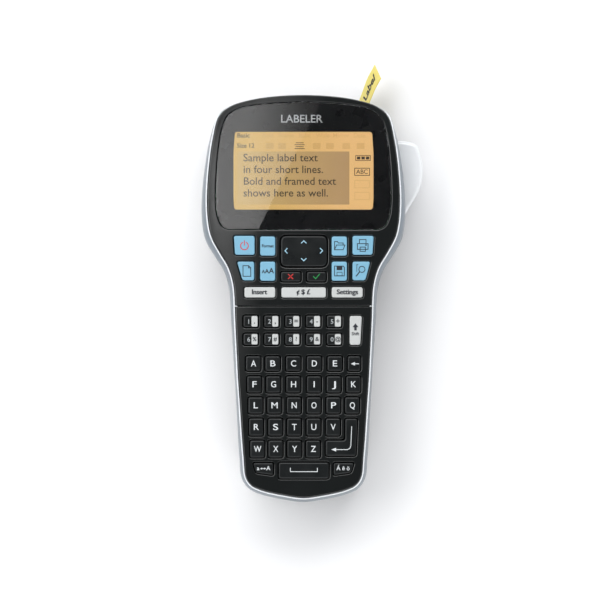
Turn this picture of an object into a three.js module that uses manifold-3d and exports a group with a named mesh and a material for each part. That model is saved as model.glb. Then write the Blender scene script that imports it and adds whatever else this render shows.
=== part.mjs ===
// A handheld label maker with a keyboard, a display window, a cutter lever and a cassette bay.
// Millimetres. It lies on its back: +Z out of the screen, +Y towards the label exit, +X to its right.
import * as THREE from "three";
import Module from "manifold-3d";
import { mergeVertices } from "three/addons/utils/BufferGeometryUtils.js";

const wasm = await Module();
wasm.setup();

// ---- driving dimensions ----
const GAP = 0.35; // clearance between neighbouring pieces
const OUTLINE_STEPS = 96; // corners of the body's outline, an even number
const FACE_Z = 50; // front face of the black fascias
const FASCIA_Z = 47; // back of the fascias
const FASCIA_BEVEL = 0.5;
const SPLIT_Z = 33.8; // parting plane between the rear housing and the silver frame
const RIM_Z = 49.4; // front of the silver rim
const RIM_WIDTH = 1.0;
const FRAME_WALL = 2.6;
const SEAM_Y = -3.4; // joint between the two fascias
const SEAM_HALF = 0.2;

const KEY_TOP = 51.0;
const KEY_BEVEL = 0.4;
const FLANGE_LOW = 44.6;
const FLANGE_HIGH = 46.6;
const FLANGE_OUT = 0.7;
const WEB_OUT = 0.5; // how far the web under a row of keys reaches past them
const KEY_CLEARANCE = 0.4;
const KEY_ROUND = 1.0;
const MAT_LOW = 41.6;
const MAT_HIGH = 42.3;
const DOME_TOP = 43.4; // a dome as it stands under a fully pressed key
const DOME_RADIUS = 1.5;
const BOARD_LOW = 39.4;
const BOARD_HIGH = 41.2;
const BOARD_INSET = 6.5;

const PALM_RISE = 11; // how far the grip's back stands above the rest plane
const HEAD_EDGE = 20; // the head's flat back ends here
const PALM_HEAD = -8; // the palm hollow is at full depth between these two
const PALM_TAIL = -66;
const HEEL_EDGE = -88; // the heel is back on the rest plane here
const INSET_X = 45; // half sizes that an inset of the back's outline is measured against
const INSET_Y = 100;

const CASSETTE = { x0: -35, x1: 17, y0: 37, y1: 82, z0: 4, z1: 27, wall: 1.2 };
const CASSETTE_DOOR = { x0: -37.5, x1: 32, y0: 33.2, y1: 86, z1: 9 };
const HINGE_ARM = { y0: 30.8, y1: 35, z0: 2.6, z1: 3.5 };
const BATTERY_DOOR = { half: 22, y1: -12, z1: 14.8 };
const BATTERY = { half: 19.5, y0: -80, y1: -22, z0: 15.6, z1: 31.6 };
const PARTITION = 1.6;
const SCREWS = [[-36, 25], [36, 25], [-23.5, -6], [23.5, -6]];
const SCREW = { head: 2.5, shank: 1.3, top: 38.2, boss: 3.4 };

const MODULE_MM = 1; // gear module
const PLATEN_TEETH = 26;
const PINION_TEETH = 12;
const TAKEUP_TEETH = 15;
const PLATEN = new THREE.Vector2(24.5, 62);
const PINION_ANGLE = -68.4; // degrees, from the platen to the motor
const TAKEUP_ANGLE = 223;
const ROLL = new THREE.Vector2(-15, 60);
const PLATE_LOW = 28.6;
const PLATE_HIGH = 30;
const GEAR_LOW = 31;
const GEAR_HIGH = 34;

const LEVER_PIVOT = new THREE.Vector2(45.5, 43.5);
const LEVER = { z0: 10, z1: 32.6, trunnion: 2, finger0: 15, finger1: 25 };

// ---- body outline, right half from the top centre to the bottom centre ----
const HALF_OUTLINE = [
  [0, 100], [18.4, 98.9], [30.1, 96.6], [37.6, 93.9], [42.2, 90.0], [45.3, 81.9], [48.2, 67.5],
  [50.1, 49], [49.9, 37.8], [48.2, 29.0], [43.5, 20.7], [39.3, 14.0], [36.7, 5.5], [35.5, -12],
  [33.3, -47.4], [31.6, -77], [30.4, -88.2], [27.0, -93.2], [21.0, -96.1], [9.5, -98.7], [0, -99.9],
];
// Width of the silver band seen from the front, against Y.
const MARGINS = [[-100, 2.8], [-80, 2.6], [-40, 2.1], [0, 2.7], [28, 3.8], [46, 3.3], [80, 2.0], [91, 1.1], [96, 0]];

// ---- solids ----
function solid(triangles) {
  const geometry = new THREE.BufferGeometry();
  geometry.setAttribute("position", new THREE.Float32BufferAttribute(triangles, 3));
  return solidOf(geometry);
}

function solidOf(geometry) {
  const bare = geometry.clone();
  bare.deleteAttribute("normal");
  bare.deleteAttribute("uv");
  const merged = mergeVertices(bare, 1e-4);
  const corners = merged.index.array;
  const triVerts = new Uint32Array(corners);
  const vertProperties = merged.getAttribute("position").array;
  return new wasm.Manifold(new wasm.Mesh({ numProp: 3, vertProperties, triVerts }));
}

// Signed volume of a triangle list, negative when it is inside out.
function volumeOf(t) {
  let sum = 0;
  const [a, b, c] = [new THREE.Vector3(), new THREE.Vector3(), new THREE.Vector3()];
  for (let i = 0; i < t.length; i += 9) {
    a.fromArray(t, i);
    b.fromArray(t, i + 3);
    c.fromArray(t, i + 6);
    sum += a.dot(b.cross(c));
  }
  return sum;
}

function outward(triangles) {
  if (volumeOf(triangles) > 0) return triangles;
  const turned = triangles.slice();
  for (let i = 0; i < turned.length; i += 9) {
    for (let k = 0; k < 3; k += 1) {
      [turned[i + 3 + k], turned[i + 6 + k]] = [turned[i + 6 + k], turned[i + 3 + k]];
    }
  }
  return turned;
}

// Triangles over one end ring, as corner numbers. A ruled end joins the mirrored corners of a body ring.
function endFaces(ring, ruled) {
  const n = ring.length;
  if (!ruled) return THREE.ShapeUtils.triangulateShape(ring.map((p) => new THREE.Vector2(p.x, p.y)), []);
  const faces = [];
  for (let i = 0; i < n / 2; i += 1) {
    const left = (n - i) % n;
    const nextLeft = n - i - 1;
    if (i > 0) faces.push([i, left, nextLeft]);
    if (i + 1 !== nextLeft) faces.push([i, nextLeft, i + 1]);
  }
  return faces;
}

// A closed solid through a stack of rings of equal length.
function loft(rings, ruled = false) {
  const out = [];
  const add = (...points) => points.forEach((p) => out.push(p.x, p.y, p.z));
  const n = rings[0].length;
  for (let r = 0; r + 1 < rings.length; r += 1) {
    for (let i = 0; i < n; i += 1) {
      const j = (i + 1) % n;
      add(rings[r][i], rings[r][j], rings[r + 1][j]);
      add(rings[r][i], rings[r + 1][j], rings[r + 1][i]);
    }
  }
  const first = rings[0];
  const last = rings[rings.length - 1];
  const area = THREE.ShapeUtils.area(first.map((p) => new THREE.Vector2(p.x, p.y)));
  const lastArea = THREE.ShapeUtils.area(last.map((p) => new THREE.Vector2(p.x, p.y)));
  for (const [a, b, c] of orient(endFaces(first, ruled), first, area)) add(first[a], first[c], first[b]);
  for (const [a, b, c] of orient(endFaces(last, ruled), last, lastArea)) add(last[a], last[b], last[c]);
  return solid(outward(out));
}

// Turns each end face to run the same way round as its ring.
function orient(faces, ring, area) {
  return faces.map(([a, b, c]) => {
    const turn = (ring[b].x - ring[a].x) * (ring[c].y - ring[a].y) - (ring[b].y - ring[a].y) * (ring[c].x - ring[a].x);
    return turn * area > 0 ? [a, b, c] : [a, c, b];
  });
}

const atHeight = (points, z) => points.map((p) => new THREE.Vector3(p.x, p.y, z));
const prism = (points, z0, z1) => loft([atHeight(points, z0), atHeight(points, z1)]);

function box(x0, x1, y0, y1, z0, z1) {
  const geometry = new THREE.BoxGeometry(x1 - x0, y1 - y0, z1 - z0);
  geometry.translate((x0 + x1) / 2, (y0 + y1) / 2, (z0 + z1) / 2);
  return solidOf(geometry);
}

function rod(x, y, radius, z0, z1, sides = 20) {
  const points = [];
  for (let i = 0; i < sides; i += 1) {
    const turn = (2 * Math.PI * i) / sides;
    points.push(new THREE.Vector2(x + radius * Math.cos(turn), y + radius * Math.sin(turn)));
  }
  return prism(points, z0, z1);
}

function rodAlongX(y, z, radius, x0, x1, sides = 14) {
  const geometry = new THREE.CylinderGeometry(radius, radius, x1 - x0, sides);
  geometry.rotateZ(Math.PI / 2);
  geometry.translate((x0 + x1) / 2, y, z);
  return solidOf(geometry);
}

function rodAlongY(x, z, radius, y0, y1, sides = 14) {
  const geometry = new THREE.CylinderGeometry(radius, radius, y1 - y0, sides);
  geometry.translate(x, (y0 + y1) / 2, z);
  return solidOf(geometry);
}

const joined = (solids) => solids.reduce((all, next) => all.add(next));

// ---- outlines ----
const rectangle = (x0, y0, x1, y1) => [[x0, y0], [x1, y0], [x1, y1], [x0, y1]];

// Moves every side of an outline outwards by a distance.
function grown(corners, distance) {
  const n = corners.length;
  const area = THREE.ShapeUtils.area(corners.map(([x, y]) => new THREE.Vector2(x, y)));
  const side = area > 0 ? distance : -distance;
  return corners.map(([x, y], i) => {
    const [px, py] = corners[(i + n - 1) % n];
    const [nx, ny] = corners[(i + 1) % n];
    const before = new THREE.Vector2(x - px, y - py).normalize();
    const after = new THREE.Vector2(nx - x, ny - y).normalize();
    const reach = side / (1 + before.dot(after));
    return [x + reach * (before.y + after.y), y - reach * (before.x + after.x)];
  });
}

// An outline with each corner rounded by a curve of a few steps.
function rounded(corners, radius, steps = 2) {
  const n = corners.length;
  const points = [];
  corners.forEach(([x, y], i) => {
    const [px, py] = corners[(i + n - 1) % n];
    const [nx, ny] = corners[(i + 1) % n];
    const corner = new THREE.Vector2(x, y);
    const back = new THREE.Vector2(px - x, py - y);
    const ahead = new THREE.Vector2(nx - x, ny - y);
    const reach = Math.min(radius, back.length() * 0.45, ahead.length() * 0.45);
    const start = corner.clone().add(back.setLength(reach));
    const end = corner.clone().add(ahead.setLength(reach));
    points.push(...new THREE.QuadraticBezierCurve(start, corner, end).getPoints(steps));
  });
  return points;
}

const mirrored = HALF_OUTLINE.slice(1, -1).reverse().map(([x, y]) => [-x, y]);
const outlineCurve = new THREE.CatmullRomCurve3(
  [...HALF_OUTLINE, ...mirrored].map(([x, y]) => new THREE.Vector3(x, y, 0)), true, "centripetal",
);
const OUTLINE = outlineCurve.getSpacedPoints(OUTLINE_STEPS).slice(0, OUTLINE_STEPS);
const NORMALS = OUTLINE.map((p, i) => {
  const before = OUTLINE[(i + OUTLINE_STEPS - 1) % OUTLINE_STEPS];
  const after = OUTLINE[(i + 1) % OUTLINE_STEPS];
  const along = after.clone().sub(before).normalize();
  return new THREE.Vector3(-along.y, along.x, 0);
});

function margin(y) {
  const next = MARGINS.findIndex(([at]) => at >= y);
  if (next < 0) return 0;
  if (next === 0) return MARGINS[0][1];
  const [y0, m0] = MARGINS[next - 1];
  const [y1, m1] = MARGINS[next];
  return THREE.MathUtils.lerp(m0, m1, (y - y0) / (y1 - y0));
}

// The body's outline moved inwards by a distance, or by the band's width plus a distance.
const ring = (z, inset) => OUTLINE.map((p, i) => {
  const distance = typeof inset === "function" ? inset(p.y) : inset;
  return new THREE.Vector3(p.x - NORMALS[i].x * distance, p.y - NORMALS[i].y * distance, z);
});

const outwards = NORMALS[OUTLINE_STEPS / 4].x > 0 ? 1 : -1;
NORMALS.forEach((normal) => normal.multiplyScalar(outwards));

// Height of the back above the rest plane.
function backHeight(y) {
  const rise = THREE.MathUtils.smoothstep(-y, -HEAD_EDGE, -PALM_HEAD);
  const fall = THREE.MathUtils.smoothstep(-y, -PALM_TAIL, -HEEL_EDGE);
  return PALM_RISE * (rise - fall);
}

// A ring of the rear housing: it follows the back's height, and shrinks towards the middle.
const backRing = (above, inset) => OUTLINE.map((p) => new THREE.Vector3(
  p.x * (1 - inset / INSET_X),
  p.y * (1 - inset / INSET_Y),
  Math.min(backHeight(p.y) + above, SPLIT_Z),
));

const meshes = [];
function piece(name, shape, { color, roughness = 0.5, metalness = 0, opacity = 1 }) {
  const mesh = shape.getMesh();
  const geometry = new THREE.BufferGeometry();
  geometry.setAttribute("position", new THREE.BufferAttribute(new Float32Array(mesh.vertProperties), 3));
  geometry.setIndex(new THREE.BufferAttribute(new Uint32Array(mesh.triVerts), 1));
  const material = new THREE.MeshStandardMaterial({
    color, roughness, metalness, opacity, transparent: opacity < 1,
  });
  const made = new THREE.Mesh(geometry, material);
  made.name = name;
  meshes.push(made);
}

const GLOSS_BLACK = { color: 0x1b1c1e, roughness: 0.15 };
const DULL_BLACK = { color: 0x26272a, roughness: 0.55 };
const SILVER = { color: 0xb9bfc6, roughness: 0.3, metalness: 0.6 };
const PALE_SILVER = { color: 0xdfe2e5, roughness: 0.35 };
const BLUE = { color: 0x93c9ec, roughness: 0.4 };
const WHITE = { color: 0xe3e6e6, roughness: 0.45 };
const STEEL = { color: 0x9fa4a8, roughness: 0.35, metalness: 1 };
const AMBER = { color: 0xf0b464, roughness: 0.4 };
const YELLOW = { color: 0xf4dc3c, roughness: 0.45 };
const RUBBER = { color: 0x3a3a3c, roughness: 0.8 };
const GREEN_BOARD = { color: 0x20603c, roughness: 0.6 };
const GEAR_WHITE = { color: 0xd9d4c4, roughness: 0.5 };
const CLEAR = { color: 0xbfc7cc, roughness: 0.1, opacity: 0.35 };

// ---- keys ----
const KEYS = {
  power_key: [[-34.1, 31.0], [-33.5, 21.7], [-23.9, 21.7], [-23.9, 31.0]],
  format_key: rectangle(-21.2, 21.3, -13.8, 30.7),
  open_key: rectangle(13.8, 21.3, 21.3, 30.7),
  print_key: [[24.0, 31.0], [34.4, 31.0], [33.8, 21.7], [24.0, 21.7]],
  new_label_key: [[-32.5, 18.4], [-24.1, 18.4], [-24.1, 9.2], [-29.8, 9.2]],
  text_size_key: rectangle(-21.2, 9.0, -13.8, 18.4),
  save_key: rectangle(13.8, 9.0, 21.3, 18.4),
  preview_key: [[24.0, 18.4], [32.7, 18.4], [30.3, 9.2], [24.0, 9.2]],
  cancel_key: rectangle(-11.1, 8.6, -1.3, 13.5),
  confirm_key: rectangle(1.6, 8.6, 11.0, 13.5),
  insert_key: rectangle(-28.9, 0.8, -13.8, 5.9),
  currency_key: rectangle(-10.8, 0.8, 11.0, 5.8),
  settings_key: rectangle(13.8, 0.8, 29.0, 5.9),
  shift_key: [[22.6, -8.2], [28.6, -8.2], [27.8, -22.4], [22.6, -22.4]],
  backspace_key: rectangle(21.6, -35.2, 27.9, -27.8),
  return_key: [[20.3, -58.4], [26.4, -58.4], [25.6, -76.8], [10.8, -76.8], [10.8, -69.1], [20.3, -69.1]],
  caps_key: [[-24.7, -80.1], [-14.8, -80.1], [-14.8, -86.2], [-23.2, -85.0]],
  space_key: rectangle(-12.2, -87.9, 12.4, -79.9),
  accents_key: [[14.7, -80.1], [24.7, -80.1], [23.2, -85.0], [14.7, -86.2]],
};
const KEY_COLOURS = {
  insert_key: WHITE, currency_key: WHITE, settings_key: WHITE, shift_key: WHITE,
  power_key: BLUE, format_key: BLUE, open_key: BLUE, print_key: BLUE,
  new_label_key: BLUE, text_size_key: BLUE, save_key: BLUE, preview_key: BLUE,
};
// Rows of like keys: the middle of each key, the row's lower and upper edge, and the key's width.
const KEY_ROWS = {
  digits_1_5: { x: [-25.8, -15.65, -5.4, 4.8, 15.0], y: [-13.8, -7.9], width: 7.3 },
  digits_6_0: { x: [-25.8, -15.65, -5.4, 4.8, 15.0], y: [-22.5, -16.7], width: 7.3 },
  letters_a_e: { x: [-24.6, -15.1, -5.0, 5.2, 15.3], y: [-35.2, -27.8], width: 7.3 },
  letters_f_k: { x: [-24.1, -14.8, -5.0, 5.1, 14.8, 24.4], y: [-45.8, -37.6], width: 7.1 },
  letters_l_q: { x: [-23.5, -14.3, -4.7, 5.0, 14.6, 23.8], y: [-56.1, -47.9], width: 7.1 },
  letters_r_v: { x: [-23.2, -13.8, -4.6, 4.9, 14.4], y: [-66.9, -58.3], width: 7.1 },
  letters_w_z: { x: [-22.6, -13.7, -4.5, 4.7], y: [-77.6, -69.1], width: 7.1 },
};
const PAD = { x0: -11.1, x1: 11.4, y0: 16.0, y1: 31.0, round: 3, flange: 46.0, clearance: 0.6 };
const PAD_CENTRE = new THREE.Vector2((PAD.x0 + PAD.x1) / 2, (PAD.y0 + PAD.y1) / 2);

function cap(corners, low, top, round = KEY_ROUND, steps = 2) {
  const at = (distance, z) => atHeight(rounded(grown(corners, distance), round + distance, steps), z);
  return loft([at(0, low), at(0, top - KEY_BEVEL), at(-KEY_BEVEL, top)]);
}

function key(corners, flangeTop = FLANGE_HIGH, round = KEY_ROUND, steps = 2) {
  const at = (distance, z) => atHeight(rounded(grown(corners, distance), round + distance, steps), z);
  return loft([
    at(FLANGE_OUT, FLANGE_LOW), at(FLANGE_OUT, flangeTop), at(0, flangeTop),
    at(0, KEY_TOP - KEY_BEVEL), at(-KEY_BEVEL, KEY_TOP),
  ]);
}

const rowCorners = (row, x) => rectangle(x - row.width / 2, row.y[0], x + row.width / 2, row.y[1]);
const keyHole = (corners, round = KEY_ROUND, clearance = KEY_CLEARANCE) => prism(
  rounded(grown(corners, clearance), round + clearance), FASCIA_Z - 1, FACE_Z + 1,
);
const holes = [];
const domes = [];
const dome = (x, y) => domes.push(rod(x, y, DOME_RADIUS, MAT_LOW + 0.2, DOME_TOP, 6));

for (const [name, corners] of Object.entries(KEYS)) {
  piece(name, key(corners), KEY_COLOURS[name] ?? DULL_BLACK);
  holes.push(keyHole(corners));
  const xs = corners.map(([x]) => x);
  const ys = corners.map(([, y]) => y);
  const middle = (values) => (Math.min(...values) + Math.max(...values)) / 2;
  dome(name === "return_key" ? 23 : middle(xs), middle(ys));
}
for (const [name, row] of Object.entries(KEY_ROWS)) {
  const first = row.x[0] - row.width / 2;
  const last = row.x[row.x.length - 1] + row.width / 2;
  const web = box(
    first - WEB_OUT, last + WEB_OUT, row.y[0] - WEB_OUT, row.y[1] + WEB_OUT, FLANGE_LOW, FLANGE_HIGH,
  );
  const caps = row.x.map((x) => cap(rowCorners(row, x), FLANGE_HIGH - 0.5, KEY_TOP));
  piece(name, joined([web, ...caps]), DULL_BLACK);
  row.x.forEach((x) => {
    holes.push(keyHole(rowCorners(row, x)));
    dome(x, (row.y[0] + row.y[1]) / 2);
  });
}
const padCorners = rectangle(PAD.x0, PAD.y0, PAD.x1, PAD.y1);
piece("navigation_pad", key(padCorners, PAD.flange, PAD.round, 4), DULL_BLACK);
holes.push(keyHole(padCorners, PAD.round, PAD.clearance));

// The gimbal is a small post with a domed top under the middle of the pad.
const GIMBAL = { radius: 2.4, low: 41.5, high: 44.3, top: 1.2 };
piece("navigation_gimbal", loft([
  [GIMBAL.radius, GIMBAL.low], [GIMBAL.radius, GIMBAL.high - 1], [GIMBAL.top, GIMBAL.high],
].map(([radius, z]) => {
  const turns = Array.from({ length: 12 }, (_, i) => (i * Math.PI) / 6);
  return turns.map((a) => new THREE.Vector3(
    PAD_CENTRE.x + radius * Math.cos(a), PAD_CENTRE.y + radius * Math.sin(a), z,
  ));
})), GEAR_WHITE);

const MAT = [[-32, 2], [32, 2], [35.5, 14], [35.5, 33], [-35.5, 33], [-35.5, 14]];
const MAT_GRIP = rectangle(-26.5, -89.5, 26.5, 3);
const matHole = rod(PAD_CENTRE.x, PAD_CENTRE.y, GIMBAL.radius + 0.8, MAT_LOW - 1, DOME_TOP + 1, 16);
piece("keypad_mat", joined([
  prism(rounded(MAT, 4), MAT_LOW, MAT_HIGH), prism(rounded(MAT_GRIP, 4), MAT_LOW, MAT_HIGH), ...domes,
]).subtract(matHole), RUBBER);

// ---- display ----
const WINDOW_HALF = [
  [0, 96.7], [20.4, 95.4], [31.5, 93.4], [36.8, 90.2], [39.6, 84.3], [41.9, 70.3], [42.8, 46.9],
  [41.9, 40.3], [39.6, 35.6], [36.5, 34.2],
];
const WINDOW_LOW = 48.3;
const SCREEN = { half: 34.2, y0: 43.7, y1: 82.0, top: 47.9, low: 42.2, shelf: 46.6, edge: 3.4 };

const windowHalf = new THREE.CatmullRomCurve3(
  WINDOW_HALF.map(([x, y]) => new THREE.Vector3(x, y, 0)), false, "centripetal",
).getPoints(26);
const windowOutline = [
  ...windowHalf, ...windowHalf.slice(1).reverse().map((p) => new THREE.Vector3(-p.x, p.y, 0)),
].map((p) => [p.x, p.y]);
const windowRing = (distance) => grown(windowOutline, distance).map(([x, y]) => new THREE.Vector2(x, y));
piece("display_window", loft([
  atHeight(windowRing(0), WINDOW_LOW), atHeight(windowRing(0), FACE_Z - 0.2), atHeight(windowRing(-0.3), FACE_Z),
]), GLOSS_BLACK);
const windowPocket = prism(windowRing(0.3), WINDOW_LOW - 0.3, FACE_Z + 1);
const screenCorners = rectangle(-SCREEN.half, SCREEN.y0, SCREEN.half, SCREEN.y1);
const screenHole = prism(rounded(grown(screenCorners, 0.4), 1.5), FASCIA_Z - 1, FACE_Z);
piece("lcd_panel", joined([
  prism(rounded(screenCorners, 1), SCREEN.low + 1, SCREEN.top),
  prism(rounded(grown(screenCorners, SCREEN.edge), 2), SCREEN.low, SCREEN.shelf),
]), AMBER);

// ---- fascias ----
const fascia = loft([
  ring(FASCIA_Z, margin), ring(FACE_Z - FASCIA_BEVEL, margin),
  ring(FACE_Z, (y) => margin(y) + FASCIA_BEVEL),
], true).subtract(joined(holes)).subtract(windowPocket).subtract(screenHole);
const seam = box(-60, 60, SEAM_Y - SEAM_HALF, SEAM_Y + SEAM_HALF, 40, 60);
const split = fascia.subtract(seam);
piece("upper_fascia", split.subtract(box(-60, 60, -120, SEAM_Y, 40, 60)), GLOSS_BLACK);
piece("lower_fascia", split.subtract(box(-60, 60, SEAM_Y, 120, 40, 60)), GLOSS_BLACK);

// ---- silver frame ----
const SHOULDER_Z = 42;
const frameOuter = loft([
  ring(SPLIT_Z + GAP, 0), ring(SHOULDER_Z, 0), ring(SHOULDER_Z + 4.4, (y) => 0.25 * margin(y)),
  ring(RIM_Z - 0.5, (y) => Math.max(0, margin(y) - RIM_WIDTH - GAP)),
  ring(RIM_Z, (y) => Math.max(0, margin(y) - RIM_WIDTH - GAP + 0.3)),
], true);
const frameCavity = loft([ring(SPLIT_Z - 2, FRAME_WALL), ring(FASCIA_Z - GAP, FRAME_WALL)], true);
const fasciaRoom = loft([
  ring(FASCIA_Z - GAP, (y) => margin(y) - GAP), ring(FACE_Z + 2, (y) => margin(y) - GAP),
], true);
const USB = { x0: -20, x1: -12, z0: 35.4, z1: 39, y0: 88, y1: 97.4 };
const JACK = { x: -1.5, half: 4.4, z0: 30.2, z1: 39, y0: 87, y1: 97.6, bore: 2.75, pin: 0.8, depth: 8 };
const socketRoom = (s) => box(s.x0 - GAP, s.x1 + GAP, s.y0 - 1, 104, s.z0 - GAP, s.z1 + GAP);
const jackBox = { x0: JACK.x - JACK.half, x1: JACK.x + JACK.half, y0: JACK.y0, z0: JACK.z0, z1: JACK.z1 };

// Screw bosses with a web out to the wall.
const boss = (z0, z1) => joined(SCREWS.map(([x, y]) => {
  const wallX = Math.sign(x) * 48;
  const web = box(Math.min(x, wallX), Math.max(x, wallX), y - 1, y + 1, z0, z1);
  return rod(x, y, SCREW.boss, z0, z1, 16).add(web);
}));
const screwBore = joined(SCREWS.map(([x, y]) => rod(x, y, SCREW.shank + GAP, -1, SCREW.top + GAP, 12)));
const headBore = joined(SCREWS.map(([x, y]) => {
  const floor = backHeight(y);
  return rod(x, y, SCREW.head + GAP, floor - 2, floor + 2.6, 16);
}));
const pivotBoss = (z0, z1) => rod(LEVER_PIVOT.x, LEVER_PIVOT.y, 4.2, z0, z1, 16);
const pivotBore = (z0, z1) => rod(LEVER_PIVOT.x, LEVER_PIVOT.y, LEVER.trunnion + 0.1, z0, z1, 24);
piece("silver_frame", frameOuter.subtract(frameCavity).subtract(fasciaRoom)
  .add(boss(SPLIT_Z + GAP, BOARD_LOW - GAP).intersect(frameOuter))
  .add(pivotBoss(SPLIT_Z + GAP, BOARD_LOW - GAP).intersect(frameOuter))
  .subtract(screwBore).subtract(pivotBore(SPLIT_Z - 1, 37.4))
  .subtract(socketRoom(USB)).subtract(socketRoom(jackBox)), SILVER);

// ---- rear housing and its two doors ----
const backOuter = loft([
  backRing(0, 9), backRing(1.4, 5.4), backRing(5, 2.4), backRing(12, 0.7), backRing(60, 0),
], true);
const backCavity = loft([
  backRing(2.2, 10), backRing(3.6, 7.4), backRing(7, 4.6), backRing(13, 2.9),
  backRing(60, 2.3), backRing(60, 2.3).map((p) => p.clone().setZ(SPLIT_Z + 3)),
], true);
const backShell = backOuter.subtract(backCavity);

const doorCorners = rectangle(CASSETTE_DOOR.x0, CASSETTE_DOOR.y0, CASSETTE_DOOR.x1, CASSETTE_DOOR.y1);
const DOOR_ROUND = 4;
const doorPrism = (distance) => prism(
  rounded(grown(doorCorners, distance), DOOR_ROUND + distance, 4), -1, CASSETTE_DOOR.z1,
);
const batteryPrism = (distance) => prism(
  rectangle(-BATTERY_DOOR.half - distance, -120, BATTERY_DOOR.half + distance, BATTERY_DOOR.y1 + distance)
    .map(([x, y]) => new THREE.Vector2(x, y)), -1, BATTERY_DOOR.z1 + distance,
);
// Two arms reach from the door over the housing's floor, and swing in with it.
const HINGE_ARMS = [[-26, -16], [10, 20]];
const hingeArms = joined(HINGE_ARMS.map(([x0, x1]) => joined([
  box(x0, x1, HINGE_ARM.y0, HINGE_ARM.y1, HINGE_ARM.z0, HINGE_ARM.z1),
  box(x0, x1, CASSETTE_DOOR.y0 + 0.4, HINGE_ARM.y1, 1, HINGE_ARM.z1),
])));
const WINDOW = { x0: -27, x1: 4, y0: 52, y1: 68, edge: 1.5 };
const peekCorners = rectangle(WINDOW.x0, WINDOW.y0, WINDOW.x1, WINDOW.y1);
const peekHole = prism(rounded(grown(peekCorners, 0.3), 2), -1, CASSETTE_DOOR.z1);
const fingerNotch = rodAlongX(CASSETTE_DOOR.y1, -2.2, 3.4, -12, 6, 24);
piece("cassette_door", backShell.intersect(doorPrism(0)).add(hingeArms).subtract(peekHole)
  .subtract(fingerNotch), DULL_BLACK);
piece("cassette_window", joined([
  prism(rounded(peekCorners, 1.7), 0.3, 3),
  prism(rounded(grown(peekCorners, WINDOW.edge), 2), 2.55, 3.3),
]), CLEAR);
// Raised ridges for the thumb that pushes the battery door towards the tail.
const THUMB_RIDGES = { half: 8, first: -16.5, pitch: 2.2, count: 4, width: 0.9, out: 0.5 };
const ridges = joined(Array.from({ length: THUMB_RIDGES.count }, (_, i) => {
  const y = THUMB_RIDGES.first - i * THUMB_RIDGES.pitch;
  return box(
    -THUMB_RIDGES.half, THUMB_RIDGES.half, y - THUMB_RIDGES.width, y,
    PALM_RISE - THUMB_RIDGES.out, PALM_RISE + 1,
  );
}));
piece("battery_door", backShell.intersect(batteryPrism(0)).add(ridges), DULL_BLACK);

// The lever comes out through a notch in the right wall, and the label through a slot at the top right.
const leverNotch = box(38, 62, 39, 80.5, LEVER.z0 - 0.4, SPLIT_Z + 1);
const LABEL_SLOT = { x0: 25.5, x1: 34.5, y0: 88, z0: 7.5, z1: 22.5 };
const labelSlot = box(LABEL_SLOT.x0, LABEL_SLOT.x1, LABEL_SLOT.y0, 106, LABEL_SLOT.z0, LABEL_SLOT.z1);
const SPRING = { y: 62, z: 20, x0: 37.5, x1: 43, radius: 2.2, wire: 0.35, turns: 4 };
const springRib = box(35.6, 37.2, SPRING.y - 4, SPRING.y + 4, 1, 25);
const partitions = joined([BATTERY.y1 + GAP, BATTERY.y0 - GAP - PARTITION].map((y) => (
  box(-40, 40, y, y + PARTITION, BATTERY_DOOR.z1 + GAP, SPLIT_Z - 0.3)
)));
const rearInside = joined([
  boss(0, SPLIT_Z), pivotBoss(2, LEVER.z0 - 0.4), springRib, partitions,
]).intersect(backOuter);
piece("rear_housing", backShell.subtract(leverNotch).add(rearInside)
  .subtract(doorPrism(GAP)).subtract(batteryPrism(GAP))
  .subtract(screwBore).subtract(headBore).subtract(pivotBore(5, LEVER.z0))
  .subtract(labelSlot).subtract(socketRoom(jackBox)), DULL_BLACK);

SCREWS.forEach(([x, y], i) => {
  const floor = backHeight(y);
  const slot = box(x - 1.7, x + 1.7, y - 0.35, y + 0.35, floor, floor + 1);
  const cross = box(x - 0.35, x + 0.35, y - 1.7, y + 1.7, floor, floor + 1);
  const screw = rod(x, y, SCREW.head, floor + 0.4, floor + 2.3, 16).add(rod(x, y, SCREW.shank, floor + 2, SCREW.top, 10));
  piece("housing_screw_" + (i + 1), screw.subtract(slot).subtract(cross), STEEL);
});

// ---- cutter ----
const LEVER_EDGE = [
  [43.4, 78.6], [52.4, 77.9], [55.9, 76.4], [57.7, 72.2], [58.9, 66.2], [58.7, 59.8], [57.2, 53.8],
  [54.5, 48.8], [51.9, 44.6], [50.1, 41.2],
];
const FINGER = [[43.4, 76], [44.8, 76], [42.3, 80], [40.5, 84], [39.4, 87.0], [37.6, 87.0], [37.6, 84.4], [40.6, 78]];
const leverSide = new THREE.CatmullRomCurve3(
  LEVER_EDGE.map(([x, y]) => new THREE.Vector3(x, y, 0)), false, "centripetal",
).getPoints(22);
const leverCorners = [...leverSide.map((p) => [p.x, p.y]), [47.5, 40], [43, 41.5], [42, 46]];
const leverRing = (distance, z) => atHeight(
  grown(leverCorners, -distance).map(([x, y]) => new THREE.Vector2(x, y)), z,
);
const FRONT_EDGE = 1;
piece("cutter_lever", joined([
  loft([
    leverRing(FRONT_EDGE, LEVER.z0), leverRing(0, LEVER.z0 + FRONT_EDGE),
    leverRing(0, LEVER.z1 - FRONT_EDGE), leverRing(FRONT_EDGE, LEVER.z1),
  ]),
  prism(FINGER.map(([x, y]) => new THREE.Vector2(x, y)), LEVER.finger0, LEVER.finger1),
  rod(LEVER_PIVOT.x, LEVER_PIVOT.y, LEVER.trunnion, 6, 37, 24),
]), PALE_SILVER);

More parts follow.
